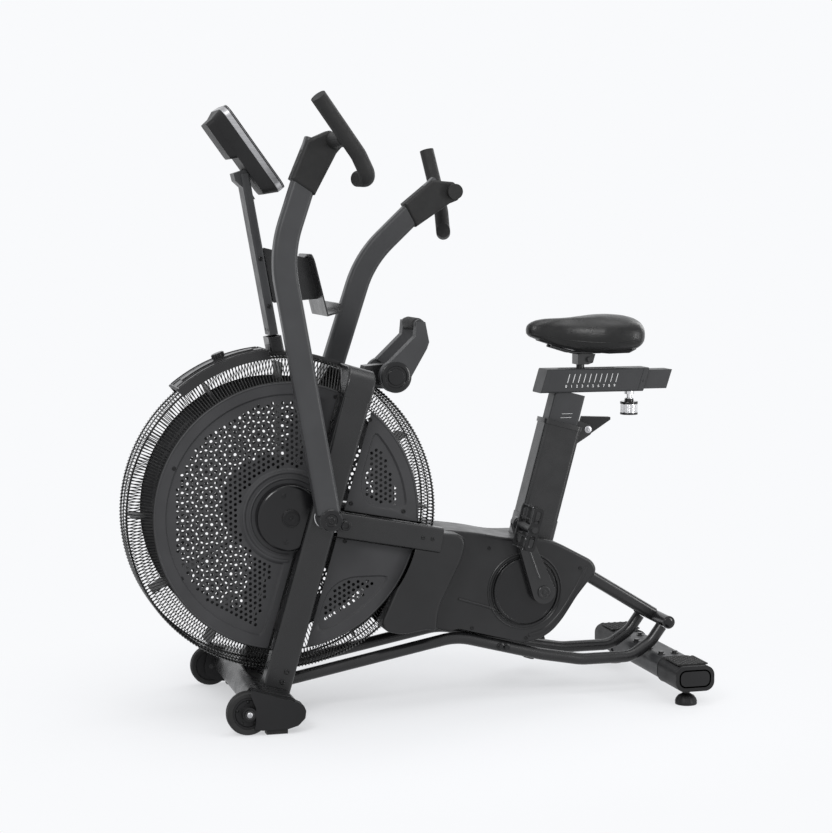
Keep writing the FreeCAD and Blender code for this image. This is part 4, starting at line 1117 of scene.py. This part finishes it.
def knob_trim():
    """Knurled chrome head with dark bands, and the stem's collar."""
    shape = Shape()
    for t in turns(40):
        x, y = KNOB_X + 19.0 * math.cos(t), 19.0 * math.sin(t)
        shape.sweep([at(x, y, 647.5), at(x, y, 665.5)], 0.9, steps=6)
    shape.done("knob_knurl", "saddle_knob", "chrome_trim")
    bands = Shape()
    for z0, z1 in ((641.6, 646.4), (666.6, 672.2)):
        deep = z1 - z0
        outline = [(18, 0), (20.6, 0), (20.9, 1), (20.9, deep - 1), (20.4, deep), (18, deep)]
        bands.lathe(at(KNOB_X, 0, z0), Z, outline, 48)
    bands.lathe(at(KNOB_X, 0, 672), Z, [(6.2, 0), (11, 0), (10.4, 7), (8.4, 8.4), (6.2, 8.4)], 32)
    bands.done("knob_bands", "saddle_knob", "gloss_black")


def lever_trim():
    shape = Shape()
    for side in SIDES.values():
        outline = [(0, -1), (8.5, -1), (8.5, 1.6), (7, 2.4), (0, 2.4)]
        shape.lathe(at(LEVER_PIN[0], side * 14.8, LEVER_PIN[1]), Y * side, outline, 32)
        shape.hex_bolt(at(LEVER_PIN[0], side * 16.6, LEVER_PIN[1]), Y * side, 4.6, 3.2, washer=False)
    shape.done("lever_bolts", "frame", "steel")
    collar = Shape()
    for z0, z1, grow in ((618, 629, 3.0), (352, 412, 2.0)):
        way = Vector((seat_x(z1) - seat_x(z0), 0, z1 - z0)).normalized()
        side_way = Vector((way.z, 0, -way.x))
        ring, hole = [[at(seat_x(z0), 0, z0) + side_way * (u * MM) + Y * (v * MM) for u, v in loop]
                      for loop in (rounded(45 + grow, 33 + grow, 10 + grow), rounded(44, 32, 9))]
        push = way * ((z1 - z0) * MM)
        n = len(ring)
        verts = ring + hole + [p + push for p in ring] + [p + push for p in hole]
        faces = []
        for i in range(n):
            k = (i + 1) % n
            faces += [[i, k, n + k, n + i], [2 * n + i, 3 * n + i, 3 * n + k, 2 * n + k],
                      [i, 2 * n + i, 2 * n + k, k], [n + i, n + k, 3 * n + k, 3 * n + i]]
        collar.add(verts, faces)
    collar.done("seat_collars", "frame", "frame_black")


# ---------------------------------------------------------------- console
SCREEN_TILT = math.atan2(128.0, 176.0)
SCREEN_MID = (57.0, 1254.0)


def on_screen(x, y, z):
    """A point in the console's own frame: z up the screen, x behind it."""
    c, s = math.cos(SCREEN_TILT), math.sin(SCREEN_TILT)
    return at(SCREEN_MID[0] + x * c + z * s, y, SCREEN_MID[1] - x * s + z * c)


def console():
    trim = Shape()
    for x, grow, thick in ((16.6, 0.4, 1.6), (2.6, 0.0, 0.8)):
        loop = [on_screen(x, y, z) for y, z in rounded(72 + grow, 109 + grow, 22, 8)]
        trim.sweep(loop, thick * 0.5, closed=True, steps=8)
    plate(trim, rounded(72.7, 109.7, 22.4, 8), [rounded(71.4, 108.4, 21.4, 8)],
          lambda u, v: on_screen(5.5, u, v), lambda u, v: on_screen(16.5, u, v))
    trim.done("console_trim", "frame", "chrome_trim", SLOTS["steel"])
    glass = Shape()
    window = rounded(60, 62.5, 6, mid=(0.0, 32.5))
    plate(glass, window, [], lambda u, v: on_screen(-0.6, u, v), lambda u, v: on_screen(2.0, u, v))
    glass.done("console_window", "frame", "screen_glass")
    console_readout()
    keys = Shape()
    strip = rounded(54, 26.5, 6, mid=(0.0, -66.5))
    plate(keys, strip, [], lambda u, v: on_screen(-0.5, u, v), lambda u, v: on_screen(2.0, u, v))
    for col in range(4):
        for row in range(2):
            mid = (-39.0 + 26.0 * col, -56.0 - 21.0 * row)
            key = rounded(10.5, 7.5, 3.0, mid=mid)
            plate(keys, key, [], lambda u, v: on_screen(-1.8, u, v), lambda u, v: on_screen(0.0, u, v))
    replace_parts(keys.done("console_keys", "frame", "gloss_black"), "console_face")


def console_readout():
    """Plain numbers in thin frames, as any exercise computer shows."""
    frames = Shape()
    right, up = Vector((0, -1, 0)), (on_screen(0, 0, 1) - on_screen(0, 0, 0)).normalized()
    rows = [(-30.0, 76.0, "00"), (30.0, 76.0, "000"), (-30.0, 42.0, "0:00"), (30.0, 42.0, "0.0"),
            (0.0, 4.0, "000")]
    for k, (u, v, text) in enumerate(rows):
        loop = [on_screen(-0.7, y, z) for y, z in rounded(26 if k < 4 else 54, 13, 3, mid=(u, v))]
        frames.sweep(loop, 0.35, closed=True, steps=6)
        digits(text, 17.0, on_screen(-0.75, u, v - 6), right, up, "frame", "readout_%d" % k)
    frames.done("console_frames", "frame", "chrome_trim", WHITE_MARK)


MAST_FOOT = (12.8, 842.0)
MAST_RISE = (76.0 - MAST_FOOT[0], 1196.0 - MAST_FOOT[1])


def mast_trim():
    """Screws on the mast's sides and through its foot."""
    shape = Shape()
    way = Vector((MAST_RISE[0], 0, MAST_RISE[1])).normalized()
    side_way = Vector((way.z, 0, -way.x))
    for z in (905.0, 1010.0):
        x = MAST_FOOT[0] + (z - MAST_FOOT[1]) * MAST_RISE[0] / MAST_RISE[1]
        for side in SIDES.values():
            shape.cap_screw(at(x, side * 31, z), Y * side, 5.0, 2.6)
    for k in range(2):
        shape.cap_screw(at(MAST_FOOT[0] + 9.5, -14 + 28 * k, 852.0), side_way, 5.0, 2.6)
    shape.done("mast_screws", "frame", "gloss_black")


# ---------------------------------------------------------------- feet and wheels
def wheel_trim(name, side):
    """Rubber tyre with side ribs, dark hub and bolts."""
    x, z = WHEEL
    hub = Shape()
    outline = [(6.2, 3), (34, 3), (34, 21), (30, 21), (28, 18), (16, 18), (14, 21), (6.2, 21)]
    hub.lathe(at(x, side * 233, z), Y * side, outline, 48)
    for k in range(5):
        t = math.radians(72 * k + 160)
        hub.dome(at(x + 25 * math.cos(t), side * 251, z + 25 * math.sin(t)), Y * side, 3.6, 2.6, 16)
    hub.done(name + "_hub", name, "black_plastic")
    tyre = Shape()
    outline = [(34, 2), (36, 0.4), (43, 0.2), (46.4, 2.6), (47.3, 7), (47.3, 10.6), (46.6, 11.2),
               (46.6, 12.8), (47.3, 13.4), (47.3, 17), (46.4, 21.4), (43, 23.8), (36, 23.6), (34, 22)]
    tyre.lathe(at(x, side * 233, z), Y * side, outline, 72)
    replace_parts(tyre.done(name + "_tyre", name, "wheel_tyre"), name)


def axle_caps():
    shape = Shape()
    for side in SIDES.values():
        shape.dome(at(WHEEL[0], side * 268, WHEEL[1]), Y * side, 6.5, 3.0, 24)
    shape.done("wheel_axle_caps", "frame", "steel")


def leveller_foot(name, side):
    x = REAR_X + 9
    shape = Shape()
    outline = [(0, 0), (24.4, 0), (25, 2.4), (24.2, 7), (21.6, 14), (17.0, 20), (11.0, 23.4), (9.0, 24),
               (0, 24)]
    shape.lathe(at(x, side * 231, 0), Z, outline, 48)
    for t in turns(16):
        run = [at(x + r * math.cos(t), side * 231 + r * math.sin(t), h)
               for r, h in ((24.4, 6), (21.8, 13.4), (17.2, 19.4))]
        shape.sweep(run, 1.0, steps=6)
    shape.hex_bolt(at(x, side * 231, 24), Z, 8.6, 5.5, washer=False)
    shape.lathe(at(x, side * 231, 24), Z, thread(5.0, 40), 32)
    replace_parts(shape.done(name + "_foot", name, "black_plastic"), name)


def thread(r, length):
    out = [(0, 0)]
    for k in range(int(length / 1.6)):
        out += [(r - 0.6, 1.6 * k), (r, 1.6 * k + 0.8)]
    return out + [(r - 0.6, length), (0, length)]


def treads():
    """Raised diamond grips on the rear feet's pads, and plates on their ends."""
    shape = Shape()
    for side in SIDES.values():
        for i in range(9):
            for j in range(11):
                x = REAR_X - 31 + 7.75 * i
                y = side * (172 + 7.2 * j)
                if (i + j) % 2 == 0:
                    base = at(x, y, 95)
                    shape.lathe(base, Z, [(0, -0.6), (4.4, -0.6), (3.4, 1.2), (0, 1.2)], 4)
    shape.done("foot_grips", "frame", "wheel_tyre", DARK_TREAD)
    ends = Shape()
    for side in SIDES.values():
        outline = rounded(38.5, 20.5, 16.0)
        hole = rounded(35.0, 17.0, 13.0)
        plate(ends, outline, [hole], lambda u, v: at(REAR_X + u, side * 262.0, 63 + v),
              lambda u, v: at(REAR_X + u, side * 260.5, 63 + v))
        ring = [at(REAR_X + u, side * 150.5, 63 + v) for u, v in rounded(46.4, 29.0, 22)]
        ends.sweep(ring, 1.0, closed=True, steps=6)
    ends.done("rear_cap_plates", "frame", "black_plastic")
    for side in SIDES.values():
        ribs = Shape()
        for k in range(7):
            x = 37 + 6.7 * k
            ribs.sweep([at(x, side * 234.5, 1.2), at(x, side * 257.5, 1.2)], 1.2, steps=6)
        ribs.done("front_pad_ribs_%s" % ("l" if side > 0 else "r"), "frame", "wheel_tyre", DARK_TREAD)


def rear_bolts():
    """Bolts that hold the rails' feet, the lugs and the frame's smaller joints."""
    shape = Shape()
    for side in SIDES.values():
        for x, y in ((REAR_X + 20, 108), (REAR_X - 14, 108), (REAR_X + 22, 40)):
            shape.hex_bolt(at(x, side * y, 90), Z, 6.5, 6.0)
        shape.dome(at(-907, side * 94, 160), Y * side, 12.0, 2.6, 32)
    shape.done("rear_bolts", "frame", "gloss_black")


# ---------------------------------------------------------------- shroud and grips
def shroud_trim():
    """Soft crease of the recess round the crank, the split line and the moulding's screws."""
    shape = Shape()
    for side in SIDES.values():
        out = Y * side
        recess = [(-372, 352), (-352, 300), (-346, 272), (-352, 258), (-378, 246), (-420, 232), (-470, 216),
                  (-505, 200)]
        shape.bead([at(x, side * 84, z) for x, z in spline(recess, 6) if x < -396], 7.0, 2.2, out)
        back = [(-704, 300), (-690, 268), (-664, 224), (-636, 186), (-604, 158), (-566, 146)]
        shape.bead([at(x, side * 84, z) for x, z in spline(back, 6)], 9.0, 2.2, out)
    shape.done("shroud_creases", "frame", "shroud_plastic")
    screws = Shape()
    for side in SIDES.values():
        for x, z in ((-470, 352), (-690, 296), (-560, 140), (-430, 170)):
            screws.cap_screw(at(x, side * 84, z), Y * side, 4.2, 1.8)
    screws.done("shroud_screws", "frame", "black_plastic")


def spline(points, steps):
    """Points along a smooth line through a few control points."""
    out = []
    p = [points[0]] + list(points) + [points[-1]]
    for i in range(1, len(p) - 2):
        for k in range(steps):
            t = k / steps
            out.append(tuple(0.5 * (2 * p[i][c] + (p[i + 1][c] - p[i - 1][c]) * t
                                    + (2 * p[i - 1][c] - 5 * p[i][c] + 4 * p[i + 1][c] - p[i + 2][c]) * t * t
                                    + (3 * p[i][c] - p[i - 1][c] - 3 * p[i + 1][c] + p[i + 2][c]) * t ** 3)
                             for c in range(len(points[0]))))
    return out + [points[-1]]


# ---------------------------------------------------------------- stage, camera and lights
FLOOR_R = 90.0
BACKDROP = (0.948, 0.956, 0.973, 1)


def stage():
    """A pale floor that fades into the colour of the background."""
    made, tree, shader = blank("studio_floor")
    fill(shader, {"Roughness": 0.8, "Specular IOR Level": 0.1})
    shade = two_tone(tree, noise(tree, 3.0), (0.622, 0.627, 0.638), (0.630, 0.635, 0.646))
    link(tree, shade, shader.inputs["Base Color"])
    glow = tree.nodes.new("ShaderNodeEmission")
    glow.inputs["Color"].default_value = BACKDROP
    place = tree.nodes.new("ShaderNodeTexCoord")
    size = tree.nodes.new("ShaderNodeVectorMath")
    size.operation = "LENGTH"
    link(tree, place.outputs["Object"], size.inputs[0])
    fade = tree.nodes.new("ShaderNodeMapRange")
    fade.interpolation_type = "SMOOTHSTEP"
    fill(fade, {"From Min": 0.35, "From Max": 1.1, "To Min": 0.5})
    link(tree, size.outputs["Value"], fade.inputs["Value"])
    mix = tree.nodes.new("ShaderNodeMixShader")
    link(tree, fade.outputs["Result"], mix.inputs["Fac"])
    link(tree, shader.outputs["BSDF"], mix.inputs[1])
    link(tree, glow.outputs["Emission"], mix.inputs[2])
    link(tree, mix.outputs["Shader"], tree.nodes["Material Output"].inputs["Surface"])
    mesh = bpy.data.meshes.new("floor")
    rim = [(FLOOR_R * math.cos(t), FLOOR_R * math.sin(t), 0) for t in turns(64)]
    mesh.from_pydata(rim, [], [list(range(len(rim)))])
    mesh.materials.append(made)
    floor = bpy.data.objects.new("floor", mesh)
    bpy.context.scene.collection.objects.link(floor)


def area_light(name, place, target, size, power, tint=(1, 1, 1)):
    lamp = bpy.data.lights.new(name, "AREA")
    lamp.shape = "RECTANGLE"
    lamp.size, lamp.size_y = size
    lamp.energy = power
    lamp.color = tint
    holder = bpy.data.objects.new(name, lamp)
    holder.location = place
    holder.rotation_mode = "QUATERNION"
    holder.rotation_quaternion = (Vector(target) - Vector(place)).to_track_quat("-Z", "Y")
    bpy.context.scene.collection.objects.link(holder)


def lights():
    world = bpy.data.worlds.new("studio")
    bpy.context.scene.world = world
    world.use_nodes = True
    world.node_tree.nodes["Background"].inputs["Color"].default_value = BACKDROP
    area_light("key", (2.0, 2.8, 2.8), (0, 0, 0.6), (1.3, 1.3), 80)
    area_light("side", (-2.6, 2.3, 0.9), (-0.2, 0, 0.5), (0.6, 1.8), 40)
    area_light("top", (-0.3, 0.3, 3.4), (-0.1, 0, 0.5), (2.4, 1.4), 30)
    area_light("rim", (-2.6, -1.6, 2.2), (0, 0, 0.6), (0.8, 2.2), 24)


def camera():
    data = bpy.data.cameras.new("camera")
    data.lens = 86.0
    data.sensor_width = 36.0
    data.clip_end = 300
    eye = bpy.data.objects.new("camera", data)
    right = Vector((-0.96447, 0.26418, 0))
    look = Vector((-0.26303, -0.96027, -0.09329)).normalized()
    up = right.cross(look).normalized()
    turn = Matrix((right, up, -look)).transposed().to_4x4()
    eye.matrix_world = Matrix.Translation((1.1724, 4.3579, 1.0725)) @ turn
    bpy.context.scene.collection.objects.link(eye)
    bpy.context.scene.camera = eye
    bpy.context.scene.view_settings.view_transform = "Standard"


def main():
    dress_cad()
    side_panels()
    cage()
    fan_disc()
    hub_trim()
    panel_screws()
    grab_trim()
    guard_trim()
    frame_bolts()
    pivot_rings()
    crank_covers()
    crank_trim()
    lower_rails()
    pedal_detail("left_pedal", 1, tip_of(90))
    pedal_detail("right_pedal", -1, tip_of(270))
    saddle()
    slider_marks()
    post_marks()
    knob_trim()
    lever_trim()
    console()
    mast_trim()
    for name, side in SIDES.items():
        wheel_trim(name + "_wheel", side)
        leveller_foot(name + "_leveller", side)
    axle_caps()
    treads()
    rear_bolts()
    shroud_trim()
    stage()
    lights()
    camera()


main()
